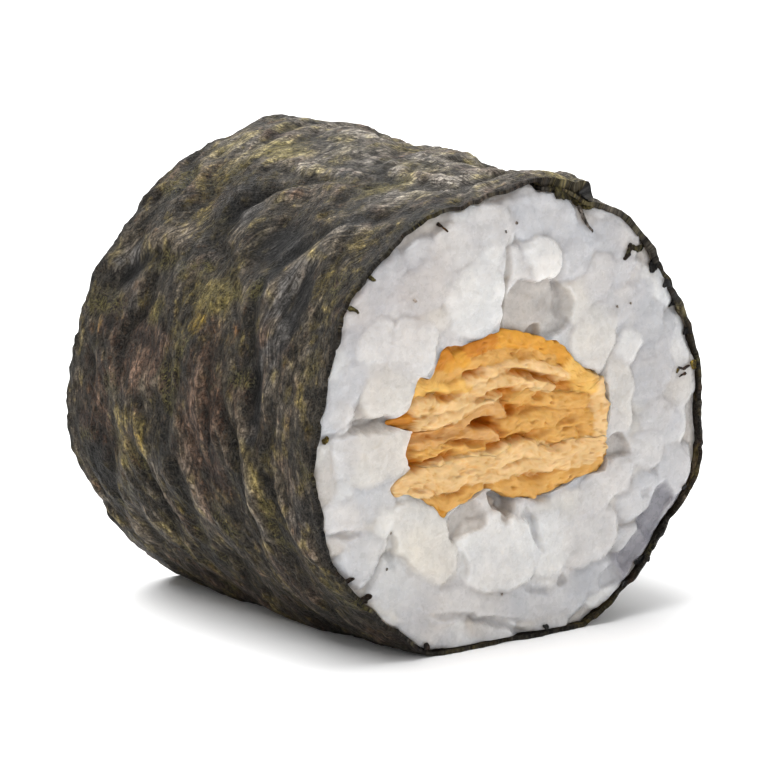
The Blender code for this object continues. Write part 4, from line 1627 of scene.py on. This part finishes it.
@dataclass
class RiceHeap:
    """The ring of pressed rice, in a near and a far half that meet inside the roll."""

    form: RollForm
    wrap: NoriWrap
    filling: "TofuBundle"
    finish: bpy.types.Material
    clearance: float = 0.11 * MM
    around: int = 780
    inwards: int = 96
    parting: float = 0.05 * MM
    wall_steps: tuple[float, ...] = (
        0.12 * MM, 0.4 * MM, 1.0 * MM, 2.0 * MM, 3.5 * MM, 5.5 * MM, 8.0 * MM
    )
    slack: float = 0.70 * MM
    fuse: float = 0.05
    grain_long: float = 2.3
    grain_wide: float = 1.3
    bed: float = -0.45
    wander: float = 0.30
    fray: float = 0.07
    facet_rise: float = 0.022
    shard_rise: float = 0.012
    swell_rise: float = 0.05
    grit_rise: float = 0.015
    rim_free: float = 0.9
    rim_drop: float = 0.08
    draws: int = 4000
    seam_shade: Colour = (0.065, 0.065, 0.055)

    def loose_plates(self, end: End, taken: tuple[Plate, ...]) -> list[Plate]:
        """Grains that fill a face between the ones already placed.

        Args:
            end: Which face.
            taken: The grains that are there.

        Returns:
            The new grains, in two layers from the back to the cut.
        """
        draw = np.random.default_rng(5 + end.value)
        limit = self.form.radius / MM - self.rim_free
        layers = ((110, 1.5, -0.34, -0.12), (110, 1.55, -0.08, 0.22))
        made: list[Plate] = []
        for number, (count, spacing, low, high) in enumerate(layers):
            near = list(taken) if number == 1 else []
            for _ in range(self.draws):
                if len(near) >= count + (len(taken) if number == 1 else 0):
                    break
                reach = limit * math.sqrt(draw.random())
                angle = draw.uniform(0, TAU)
                across = reach * math.cos(angle)
                up = reach * math.sin(angle)
                if any(math.hypot(across - one.across, up - one.up) < spacing for one in near):
                    continue
                kinds = (Starch.PLAIN, Starch.PLAIN, Starch.COOL, Starch.CREAM, Starch.BRIGHT)
                plate = Plate(
                    across, up,
                    self.grain_long * draw.uniform(0.55, 1.05),
                    self.grain_wide * draw.uniform(0.75, 1.05),
                    math.degrees(draw.uniform(0, math.pi)),
                    draw.uniform(low, high),
                    kinds[int(draw.integers(len(kinds)))],
                    draw.uniform(0.05, 0.2),
                )
                near.append(plate)
            made.extend(near[len(taken):] if number == 1 else near)
        return made

    def lay(self, end: End, across: Array, up: Array) -> tuple[Array, Array]:
        """The cut face: how far it stands out and its colour, with painted shade in hollows and along
        the seams between grains, and broad painted light and shade.

        Args:
            end: Which face.
            across: Millimetres across the roll at each point.
            up: Millimetres up from the middle line.

        Returns:
            Millimetres outwards, and a row of three linear values for each point.
        """
        seed = 100 + end.value
        pulled = across + self.wander * Noise(seed).at(across / 1.5, up / 1.5)
        pulled += self.fray * Noise(seed + 2, 2).at(across / 0.45, up / 0.45)
        lifted = up + self.wander * Noise(seed + 4).at(across / 1.5, up / 1.5)
        lifted += self.fray * Noise(seed + 6, 2).at(across / 0.45, up / 0.45)
        own = SHOWN_PLATES if end is End.SHOWN else FAR_PLATES
        fill = self.loose_plates(end, own)
        if end is End.SHOWN:
            fill = [plate for plate in fill if plate.stand < -0.10]
        height = np.full(across.shape, self.bed)
        colour = np.tile(np.array(Starch.WARM_SHADED.value), (len(across), 1))
        seam = np.zeros((len(across), 1))
        for plate in [*fill, *own]:
            top = plate.height(pulled, lifted)
            share = ease((top - height) / 0.5 + 0.5)[:, None]
            colour = colour * (1 - share) + np.array(plate.starch.value) * share
            seam = np.maximum(seam * (1 - share), 4 * share * (1 - share))
            height = self.fuse * np.logaddexp(top / self.fuse, height / self.fuse)
        if end is End.SHOWN:
            for hollow in SHOWN_HOLLOWS:
                drop = hollow.drop(pulled, lifted)
                height = height - drop
                # Painted shade on the hollow's floor, as strong as the hollow is deep
                if hollow.starch:
                    share = (drop / hollow.depth)[:, None]
                    colour = colour * (1 - share) + np.array(hollow.starch.value) * share
        # Painted shade along the seams between grains
        colour = colour * (1 - seam * np.array(self.seam_shade))
        if end is End.SHOWN:
            # Broad painted light and shade over the shown face
            for cast in SHOWN_BROAD_SHADING:
                colour = colour * (1 + cast.share(across, up)[:, None] * np.array(cast.change))
        facets, shade = shards(seed + 7, pulled / 1.25, lifted / 1.25)
        small, sparkle = shards(seed + 8, across / 0.5, up / 0.5)
        height += self.facet_rise * facets + self.shard_rise * small
        height += self.swell_rise * Noise(seed + 9, 2).at(across / 1.1, up / 1.1)
        height += self.grit_rise * Noise(seed + 12, 2).at(across / 0.4, up / 0.4)
        cloud = Noise(seed + 10, 3).at(across / 1.6, up / 1.6) + 0.15 * shade + 0.3 * sparkle
        cloud += 1.0 * Noise(seed + 13, 3).at(across / 0.7, up / 0.7)
        hue = Noise(seed + 11).at(across / 4, up / 4)[:, None]
        colour = colour * (1 + 0.08 * cloud)[:, None] * (1 + hue * np.array([0.02, 0.0, -0.02]))
        return height, colour

    def surface(self, across: Array, up: Array) -> Array:
        """How far the shown face stands out, in millimetres."""
        return self.lay(End.SHOWN, across, up)[0]

    def build_half(self, end: End) -> bpy.types.Object:
        """One half of the ring, from the middle of the roll to a cut face.

        Args:
            end: Which half.

        Returns:
            The finished half.
        """
        form = self.form
        depths = np.array(self.wall_steps)
        middle = form.half - self.parting
        walls = np.concatenate([[middle], depths[::-1]])
        rows_in = np.concatenate(
            [np.zeros(len(walls)), np.linspace(0, 1, self.inwards + 1), np.ones(len(walls)), [0.0]]
        )
        rows_deep = np.concatenate([walls, np.zeros(self.inwards + 1), walls[::-1], [middle]])
        name = "rice_near_half" if end is End.SHOWN else "rice_far_half"
        ring = new_grid(name, self.around, len(rows_in) - 1)
        flat = read_points(ring)
        row = np.rint((flat[:, 1] + 0.5) * (len(rows_in) - 1)).astype(int)
        angle = (flat[:, 0] + 0.5) * TAU
        inward = rows_in[row]
        depth = rows_deep[row]
        on_face = (row >= len(walls)) & (row <= len(walls) + self.inwards)
        along = end.value * (form.half - depth)
        outer = self.wrap.inner_side(angle, along) - self.clearance
        outer -= self.slack * ease((depth - 1.0 * MM) / (2.5 * MM))
        inner = np.empty(len(angle))
        column = np.rint((flat[:, 0] + 0.5) * self.around).astype(int) % self.around
        for level in np.unique(depth):
            here = depth == level
            outline = self.filling.outline(self.around, end.value * (form.half - level))
            inner[here] = outline[column[here]]
        radius = inner + (outer - inner) * inward
        lowest = self.wrap.thickness + self.clearance
        points = form.points(radius, angle, along, lowest)
        height, colour = self.lay(end, points[:, 0] / MM, (points[:, 2] - form.rest_height) / MM)
        rim = (outer - radius) / MM
        height -= self.rim_drop * ease(1 - rim / 0.5)
        points[:, 1] += end.value * np.where(on_face, height, 0.0) * MM
        wall_share = ease(1 - depth / (4 * MM))
        edge_height = height * wall_share
        points[:, 1] += end.value * np.where(on_face | (depth > 5 * MM), 0.0, edge_height) * MM
        write_points(ring, points)
        paint(ring, "starch", colour)
        close_seams(ring, 0.001 * MM)
        hand_over(ring, "rice", self.finish)
        return ring

    def build(self) -> list[bpy.types.Object]:
        """Both halves."""
        return [self.build_half(end) for end in End]


@dataclass(frozen=True)
class Border:
    """A curve across the tofu in metres: its height, its crest, and how it bends and leans.

    At the shown face it wanders off by the given bumps: across, height and reach in millimetres.
    """

    height: float
    crest: float
    bend: float
    lean: float
    bumps: tuple[tuple[float, float, float], ...] = ()

    def level(self, across: Array, shown: Array) -> Array:
        """Height of the curve over the roll's middle line.

        Args:
            across: Place across the roll.
            shown: 1 at the shown face, 0 away from it.

        Returns:
            The height at each place.
        """
        off = across - self.crest
        level = self.height + self.lean * across - self.bend * off * off
        for place, rise, reach in self.bumps:
            level = level + shown * rise * MM * np.exp(-(((across / MM - place) / reach) ** 2))
        return level


# The borders between the strips, from the top down
CROWN = Border(5.7 * MM, -0.8 * MM, 45.0, 0.0, (
    (-0.8, 0.25, 1.6), (-6.3, -0.75, 0.55), (-5.0, 0.55, 0.7), (2.6, -0.1, 1.0), (5.6, -1.0, 1.3),
))
UPPER_SEAM = Border(1.35 * MM, 0.0, 0.0, 0.13, (
    (-5.6, -0.35, 1.4), (-1.9, 0.55, 1.0), (1.3, 0.55, 1.0), (5.4, -0.75, 1.6),
))
LOWER_SEAM = Border(-1.75 * MM, 0.0, 5.0, 0.04, (
    (-7.3, 0.5, 1.2), (-3.6, 0.35, 1.5), (0.9, 0.8, 1.1), (3.2, -0.25, 0.7), (5.4, 0.1, 1.0),
))
SOLE = Border(-4.95 * MM, 0.0, -18.0, 0.0, (
    (-7.8, 0.35, 0.9), (-5.2, -0.85, 0.7), (-1.6, 0.95, 1.2), (2.3, -0.15, 1.0), (5.6, 0.25, 1.2),
))


@dataclass(frozen=True)
class Ribbon:
    """A layer of curd that shows on the cut: a bent line, its half width and how far it stands out.

    The line is a row of millimetre points across and up.
    """

    line: tuple[tuple[float, float], ...]
    half_wide: float
    stand: float
    curd: Curd
    crown: float = 0.12

    def height(self, across: Array, up: Array) -> Array:
        """How far the layer stands out of the cut.

        Args:
            across: Millimetres across the face.
            up: Millimetres up it.

        Returns:
            Millimetres, falling steeply outside the layer.
        """
        near, _, _ = off_line(self.line, across, up)
        out = near / self.half_wide
        past = near - self.half_wide
        dome = self.crown * (1 - np.minimum(out, 1.5) ** 2)
        return 0.8 * self.stand + dome - 1.6 * slope_off(past, 0.05)


# The layers of curd that can be told apart on the shown cut, from the top down
RIBBONS = (
    Ribbon(((-5.6, 4.4), (-4.9, 4.7)), 0.55, 0.0, Curd.DEEP),
    Ribbon(((-4.9, 4.2), (-3.4, 4.5)), 0.50, 0.0, Curd.SKIN),
    Ribbon(((-3.2, 4.9), (-2.4, 5.2), (-1.4, 5.4)), 0.50, 0.14, Curd.DEEP),
    Ribbon(((-1.2, 5.4), (0.6, 5.3)), 0.50, 0.10, Curd.SKIN),
    Ribbon(((0.4, 5.2), (2.4, 4.8), (4.0, 4.0), (4.8, 3.0)), 0.50, 0.05, Curd.SKIN),
    Ribbon(((-6.8, 3.5), (-4.4, 3.8), (-2.0, 4.3), (1.0, 4.2), (3.2, 3.6)), 0.60, -0.10, Curd.TAN),
    Ribbon(((-3.2, 3.0), (-1.2, 3.5), (0.5, 3.65), (2.0, 3.35), (3.2, 2.9), (4.2, 2.5)),
           0.36, 0.18, Curd.CREAM),
    Ribbon(((-7.3, 3.0), (-6.0, 2.9), (-4.7, 2.6), (-3.2, 2.7)), 0.38, 0.12, Curd.YELLOW),
    Ribbon(((-7.2, 1.8), (-5.0, 1.8), (-3.5, 2.0), (-2.0, 2.5), (0.0, 2.7), (1.5, 2.4), (3.0, 2.0)),
           0.42, 0.24, Curd.CREAM),
    Ribbon(((-7.0, 0.8), (-5.5, 0.7), (-4.0, 1.1), (-2.6, 1.7), (-1.0, 1.95)), 0.35, 0.14, Curd.CREAM),
    Ribbon(((-9.3, 1.35), (-7.4, 1.15)), 0.30, -0.25, Curd.DEEP),
    Ribbon(((-4.2, 0.3), (-3.0, 1.0), (-1.8, 1.3), (-0.6, 0.9)), 0.48, 0.05, Curd.PINK),
    Ribbon(((0.1, 1.2), (1.3, 1.7), (2.5, 1.3), (4.2, 0.8), (5.8, 0.6)), 0.50, 0.0, Curd.TAN),
    Ribbon(((-7.2, -0.4), (-5.0, -0.2), (-3.0, -0.3), (-1.0, -0.5)), 0.40, 0.06, Curd.PINK),
    Ribbon(((0.0, -0.3), (2.0, -0.2), (4.0, -0.3), (6.0, -0.5)), 0.62, 0.10, Curd.TAN),
    Ribbon(((-7.2, -1.2), (-5.5, -1.05), (-4.0, -1.0), (-2.0, -1.2)), 0.34, 0.05, Curd.TAN),
    Ribbon(((2.0, -1.1), (4.0, -1.3), (6.3, -1.2)), 0.40, 0.06, Curd.TAN),
    Ribbon(((4.6, 2.9), (5.4, 2.2), (6.5, 1.6)), 0.60, 0.22, Curd.YELLOW),
    Ribbon(((6.8, 1.9), (7.1, 0.2), (7.1, -1.8)), 0.50, 0.26, Curd.CREAM),
    Ribbon(((-8.6, -2.9), (-7.5, -2.6), (-6.0, -2.5), (-4.5, -2.2), (-3.0, -2.1), (-1.5, -2.3),
            (0.0, -1.9), (1.0, -1.6), (2.2, -2.0), (3.5, -2.4), (5.0, -2.2), (6.3, -2.2), (7.1, -2.5)),
           0.48, 0.28, Curd.CREAM),
    Ribbon(((-8.5, -3.4), (-7.0, -3.4), (-5.0, -3.2), (-3.0, -3.0), (-1.0, -3.1), (1.0, -2.8),
            (3.0, -3.0), (5.0, -3.1), (6.5, -3.0)), 0.42, 0.18, Curd.CREAM),
    Ribbon(((-6.3, -4.2), (-5.0, -4.5), (-4.0, -4.3), (-2.5, -3.8)), 0.38, 0.0, Curd.TAN),
    Ribbon(((-5.7, -4.6), (-5.2, -5.5)), 0.40, -0.05, Curd.SKIN),
    Ribbon(((-1.0, -3.8), (0.5, -4.1), (2.0, -4.4), (3.5, -4.1), (5.0, -3.8), (6.8, -3.3)),
           0.55, 0.04, Curd.TAN),
)

# The splits between those layers
SLITS = (
    Hollow(-5.7, 2.45, 0.45, 0.12, -18, 0.7),
    Hollow(-4.5, 2.35, 0.35, 0.13, 22, 0.6),
    Hollow(-2.9, 3.5, 0.45, 0.18, -5, 0.7),
    Hollow(1.9, 2.75, 1.25, 0.12, -16, 0.8),
    Hollow(-0.6, 2.15, 0.8, 0.10, 6, 0.6),
    Hollow(-2.8, 1.95, 0.5, 0.07, -4, 0.4),
    Hollow(-0.2, 1.1, 0.36, 0.10, -40, 0.6),
    Hollow(0.15, 0.7, 0.25, 0.2, 0, 0.5),
    Hollow(-2.1, 0.25, 0.6, 0.22, -8, 0.8),
    Hollow(-1.2, -0.1, 0.6, 0.18, -38, 0.7),
    Hollow(-3.3, -0.8, 0.8, 0.12, -10, 0.6),
    Hollow(-6.2, -0.1, 1.0, 0.09, 2, 0.5),
    Hollow(-7.2, -1.6, 0.4, 0.16, 0, 0.7),
    Hollow(-5.3, -1.45, 0.5, 0.13, 12, 0.5),
    Hollow(0.8, -0.95, 0.9, 0.11, 4, 0.6),
    Hollow(3.2, -1.85, 0.5, 0.11, -8, 0.5),
    Hollow(4.3, -0.35, 0.4, 0.14, 12, 0.5),
    Hollow(5.4, -1.25, 0.15, 0.25, 0, 0.4),
    Hollow(2.4, 1.65, 0.4, 0.15, 22, 0.5),
    Hollow(-4.0, -2.25, 0.4, 0.07, -15, 0.3),
    Hollow(-7.0, -3.2, 0.4, 0.08, -4, 0.3),
    Hollow(1.1, 4.2, 0.4, 0.09, -10, 0.3),
)


@dataclass
class TofuStrip:
    """One strip of fried tofu between two borders, ragged where it was cut."""

    name: str
    form: RollForm
    left: float
    right: float
    under: Border
    over: Border
    finish: bpy.types.Material
    gap: float = 0.02 * MM
    set_back: float = 0.12 * MM
    rounding: float = 0.012
    bulge: float = 0.5 * MM
    spur_height: float = 1.15 * MM
    spur_reach: float = 0.0
    spur_half: float = 0.45 * MM
    across_cuts: int = 219
    up_cuts: int = 59
    cut_bed: float = -0.42
    leaf_rise: float = 0.01
    sponge_rise: float = 0.12
    crumb_rise: float = 0.07
    pit_from: float = 0.36
    pit_depth: float = 0.9
    along_places: tuple[float, ...] = (0.012, 0.03, 0.07, 0.16, 0.33, 0.5, 0.67, 0.84, 0.93, 0.97, 0.988)

    def section(self, across: Array, up: Array, place: Array) -> tuple[Array, Array]:
        """Where a point of the strip's section lies.

        Args:
            across: Share of the way from the left edge to the right one.
            up: Share of the way from the under side to the upper one.
            place: Place along the roll.

        Returns:
            Metres across the roll and up from its middle line.
        """
        shown = ease((-place / self.form.half - 0.55) / 0.35)
        drift = np.sin(TAU * place / (31 * MM) + 1.1)
        side = self.left + (self.right - self.left) * across
        wave = 0.2 * MM * np.sin(TAU * side / (4.7 * MM) + TAU * place / (15 * MM)) * (1 - shown)
        under = self.under.level(side, shown) + self.gap / 2
        over = self.over.level(side, shown) - self.gap / 2
        half = (over - under) / 2 * (1 - self.rounding * (2 * across - 1) ** 6)
        swell = self.bulge * (1 - (2 * up - 1) ** 2)
        side = side + swell * (2 * across - 1) ** 9 + 0.35 * MM * drift * (1 - shown)
        height = (under + over) / 2 + half * (2 * up - 1) + wave + 0.25 * MM * drift * (1 - shown)
        spur = np.exp(-(((height - self.spur_height) / self.spur_half) ** 2))
        side = side - self.spur_reach * spur * shown * np.clip(1 - across, 0, 1) ** 16
        nibble = 0.16 * MM * Noise(81, 2).at(side / (0.8 * MM), height / (0.8 * MM) + place / (3 * MM))
        edge = np.maximum(np.abs(2 * up - 1), np.abs(2 * across - 1)) ** 8
        return side + nibble * edge, height + nibble * edge

    def cut_face(self, end: End, across: Array, up: Array) -> tuple[Array, Array]:
        """The torn layers of the cut.

        Args:
            end: Which cut.
            across: Millimetres across the roll.
            up: Millimetres up from its middle line.

        Returns:
            Millimetres outwards, and a row of three linear values for each point.
        """
        seed = 200 + end.value
        flip = 1 if end is End.SHOWN else -1
        pulled = flip * across + 0.34 * Noise(seed, 2).at(across / 1.2, up / 0.8)
        lifted = up + 0.22 * Noise(seed + 2, 2).at(across / 1.0, up / 0.7)
        lifted += 0.19 * Noise(seed + 4, 3).at(across / 0.55, up / 0.5)
        height = np.full(across.shape, self.cut_bed)
        colour = np.tile(np.array(Curd.TAN.value), (len(across), 1))
        for ribbon in RIBBONS:
            top = ribbon.height(pulled, lifted)
            share = ease((top - height) / 0.10 + 0.5)[:, None]
            colour = colour * (1 - share) + np.array(ribbon.curd.value) * share
            height = np.maximum(top, height)
        for slit in SLITS:
            height = height - slit.drop(pulled, lifted)
        leaves = 1 - 2.4 * np.abs(Noise(seed + 6, 3).at(pulled / 0.9, lifted / 0.55))
        sponge = Noise(seed + 8, 3).at(across / 0.40, up / 0.38)
        crumbs, _ = shards(seed + 7, across / 0.42, up / 0.40)
        pits = np.clip(Noise(seed + 9, 2).at(pulled / 0.5, lifted / 0.38) - self.pit_from, 0, 1)
        height += (self.leaf_rise * leaves + self.sponge_rise * sponge + self.crumb_rise * crumbs
                   - self.pit_depth * pits)
        # Low places of the torn curd painted towards the orange skin, partly soy that soaked in and
        # partly painted shade
        soak_and_shade = ease(0.24 - 0.3 * leaves - 1.2 * sponge - 0.6 * crumbs)[:, None] * 0.55
        colour = colour * (1 - soak_and_shade) + np.array(Curd.SKIN.value) * soak_and_shade
        light = 0.05 * leaves + 0.12 * Noise(seed + 10, 3).at(pulled / 0.9, lifted / 0.5)
        return height, colour * (0.97 + light)[:, None]

    def build(self) -> bpy.types.Object:
        """Cuts a cube along its three axes and bends it to the strip.

        Returns:
            The finished strip.
        """
        deselect()
        bpy.ops.mesh.primitive_cube_add(size=1.0)
        strip = bpy.context.object
        strip.name = f"fried_{self.name}"
        strip.data.name = strip.name
        for axis, cuts in ((0, self.across_cuts), (2, self.up_cuts), (1, len(self.along_places))):
            self.slice(strip, axis, cuts)
        share = read_points(strip) + 0.5
        stops = np.array((0.0, *self.along_places, 1.0))
        step = np.rint(share[:, 1] * (len(stops) - 1)).astype(int)
        place = (2 * stops[step] - 1) * (self.form.half - self.set_back)
        side, height = self.section(share[:, 0], share[:, 2], place)
        points = np.column_stack([side, place, self.form.rest_height + height])
        colour = np.empty((len(points), 3))
        colour[:] = Curd.SKIN.value
        cavity = np.zeros(len(points))
        for end in End:
            mine = place * end.value > 0
            cut, cast = self.cut_face(end, side[mine] / MM, height[mine] / MM)
            depth = self.form.half - self.set_back - np.abs(place[mine])
            fade = ease(1 - depth / (1.5 * MM))
            points[mine, 1] += end.value * cut * MM * fade
            colour[mine] = cast * fade[:, None] + colour[mine] * (1 - fade[:, None])
            # How deep the cut lies, which the material shows as painted shade
            cavity[mine] = ease(-(cut + 0.05) / 0.75) * fade
        write_points(strip, points)
        paint(strip, "curd", colour)
        measure(strip, "cavity", cavity)
        hand_over(strip, self.name, self.finish)
        return strip

    @staticmethod
    def slice(strip: bpy.types.Object, axis: int, cuts: int) -> None:
        """Divides the edges that run along an axis.

        Args:
            strip: A unit cube, perhaps already divided along other axes.
            axis: 0, 1 or 2.
            cuts: How many cuts each edge gets.
        """
        mesh = strip.data
        bpy.context.tool_settings.mesh_select_mode = (False, True, False)
        mesh.vertices.foreach_set("select", [False] * len(mesh.vertices))
        mesh.polygons.foreach_set("select", [False] * len(mesh.polygons))
        for edge in mesh.edges:
            ends = [mesh.vertices[index].co[axis] for index in edge.vertices]
            edge.select = abs(ends[0] - ends[1]) > 0.5
        bpy.ops.object.mode_set(mode="EDIT")
        bpy.ops.mesh.subdivide(number_cuts=cuts, smoothness=0)
        bpy.ops.object.mode_set(mode="OBJECT")


@dataclass
class TofuBundle:
    """The three strips that run through the rice."""

    form: RollForm
    spur_reach: float = 1.7 * MM
    walk_steps: int = 4000
    strips: list[TofuStrip] = field(default_factory=list)

    def __post_init__(self) -> None:
        """Names the strips and their borders, from the lowest up."""
        finish = TofuFinish().make()
        rows = (
            ("tofu_strip_bottom", -8.9, 7.4, SOLE, LOWER_SEAM),
            ("tofu_strip_middle", -7.8, 7.3, LOWER_SEAM, UPPER_SEAM),
            ("tofu_strip_top", -7.3, 6.3, UPPER_SEAM, CROWN),
        )
        for name, left, right, under, over in rows:
            strip = TofuStrip(name, self.form, left * MM, right * MM, under, over, finish)
            self.strips.append(strip)
        self.strips[-1].spur_reach = self.spur_reach

    def outline(self, steps: int, place: float) -> Array:
        """How far the strips reach from the roll's middle line.

        Args:
            steps: How many angles the turn is divided into.
            place: Where along the roll.

        Returns:
            The reach in metres at each angle, from +X counter-clockwise.
        """
        reach = np.zeros(steps)
        walk = np.linspace(0, 1, self.walk_steps)
        low = np.zeros_like(walk)
        high = np.ones_like(walk)
        for strip in self.strips:
            for across, up in ((walk, low), (walk, high), (low, walk), (high, walk)):
                side, height = strip.section(across, up, np.full(len(walk), place))
                turn = np.arctan2(height, side) % TAU
                slot = np.rint(turn / TAU * steps).astype(int) % steps
                np.maximum.at(reach, slot, np.hypot(side, height))
        known = np.flatnonzero(reach)
        reach = np.interp(np.arange(steps), known, reach[known], period=steps)
        return (np.roll(reach, 1) + 2 * reach + np.roll(reach, -1)) / 4 - 0.01 * MM

    def build(self) -> list[bpy.types.Object]:
        """Builds every strip."""
        return [strip.build() for strip in self.strips]


@dataclass(frozen=True)
class Softbox:
    """A square softbox: its name, where it hangs and its side in metres, and its watts."""

    name: str
    spot: tuple[float, float, float]
    side: float
    watts: float


@dataclass
class Studio:
    """A plain pale floor, soft light and the camera where the photographer stood."""

    form: RollForm
    azimuth: float = math.radians(-36)
    elevation: float = math.radians(12)
    distance: float = 300.35 * MM
    aim_right: float = -0.1437 * MM
    aim_up: float = 0.1964 * MM
    lens: float = 219.47
    sensor: float = 36.0
    floor_size: float = 3.0
    room_light: float = 0.40
    softboxes: tuple[Softbox, ...] = (
        Softbox("key", (-0.20, 0.05, 0.62), 0.60, 5.8),
        Softbox("fill", (-0.05, -0.65, 0.35), 0.45, 1.4),
        Softbox("back", (0.15, 0.45, 0.50), 0.60, 4.2),
    )

    def axes(self) -> tuple[Vector, Vector, Vector]:
        """The camera's own axes.

        Returns:
            Right, up and back.
        """
        level = math.cos(self.elevation)
        back = Vector((
            math.sin(self.azimuth) * level,
            -math.cos(self.azimuth) * level,
            math.sin(self.elevation),
        ))
        right = Vector((math.cos(self.azimuth), math.sin(self.azimuth), 0.0))
        return right, back.cross(right), back

    def place_camera(self) -> None:
        """Sets the camera up and makes it the scene's."""
        right, up, back = self.axes()
        aim = Vector((0, 0, self.form.rest_height)) + right * self.aim_right + up * self.aim_up
        lens = bpy.data.cameras.new("camera")
        lens.lens = self.lens
        lens.sensor_width = self.sensor
        lens.clip_start = 0.01
        lens.clip_end = 10.0
        camera = bpy.data.objects.new("camera", lens)
        bpy.context.scene.collection.objects.link(camera)
        turn = Matrix((right, up, back)).transposed().to_4x4()
        camera.matrix_world = Matrix.Translation(aim + back * self.distance) @ turn
        bpy.context.scene.camera = camera

    def lay_floor(self) -> None:
        """Lays the floor, which is no part of the object."""
        deselect()
        bpy.ops.mesh.primitive_plane_add(size=self.floor_size)
        floor = bpy.context.object
        floor.name = "floor"
        floor.data.materials.append(FloorFinish().make())

    def hang(self, softbox: Softbox) -> None:
        """Hangs a softbox so that it faces the roll.

        Args:
            softbox: The light.
        """
        box = bpy.data.lights.new(softbox.name, "AREA")
        box.shape = "SQUARE"
        box.size = softbox.side
        box.energy = softbox.watts
        lamp = bpy.data.objects.new(softbox.name, box)
        bpy.context.scene.collection.objects.link(lamp)
        towards = Vector((0, 0, self.form.rest_height)) - Vector(softbox.spot)
        turn = towards.to_track_quat("-Z", "Y").to_matrix().to_4x4()
        lamp.matrix_world = Matrix.Translation(softbox.spot) @ turn

    def light(self) -> None:
        """Soft light from above and both sides, and a bright room."""
        for softbox in self.softboxes:
            self.hang(softbox)
        world = bpy.data.worlds.new("room")
        world.use_nodes = True
        room = world.node_tree.nodes["Background"]
        room.inputs[0].default_value = (1.0, 1.0, 1.0, 1.0)
        room.inputs[1].default_value = self.room_light
        bpy.context.scene.world = world
        bpy.context.scene.view_settings.view_transform = "Standard"

    def build(self) -> None:
        """Floor, lights and camera."""
        self.lay_floor()
        self.light()
        self.place_camera()


def main() -> None:
    """Builds the roll from its wrapper to its filling, then the studio."""
    logging.basicConfig(level=logging.INFO, format="%(name)s: %(message)s")
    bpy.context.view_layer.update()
    form = RollForm()
    tofu = TofuBundle(form)
    weed = NoriFinish().make()
    wrap = NoriWrap(form, weed)
    report(wrap.build())
    rice = RiceHeap(form, wrap, tofu, RiceFinish().make())
    for half in rice.build():
        report(half)
    report(NoriTatters(rice, weed).build())
    for strip in tofu.build():
        report(strip)
    Studio(form).build()


if __name__ == "__main__":
    main()
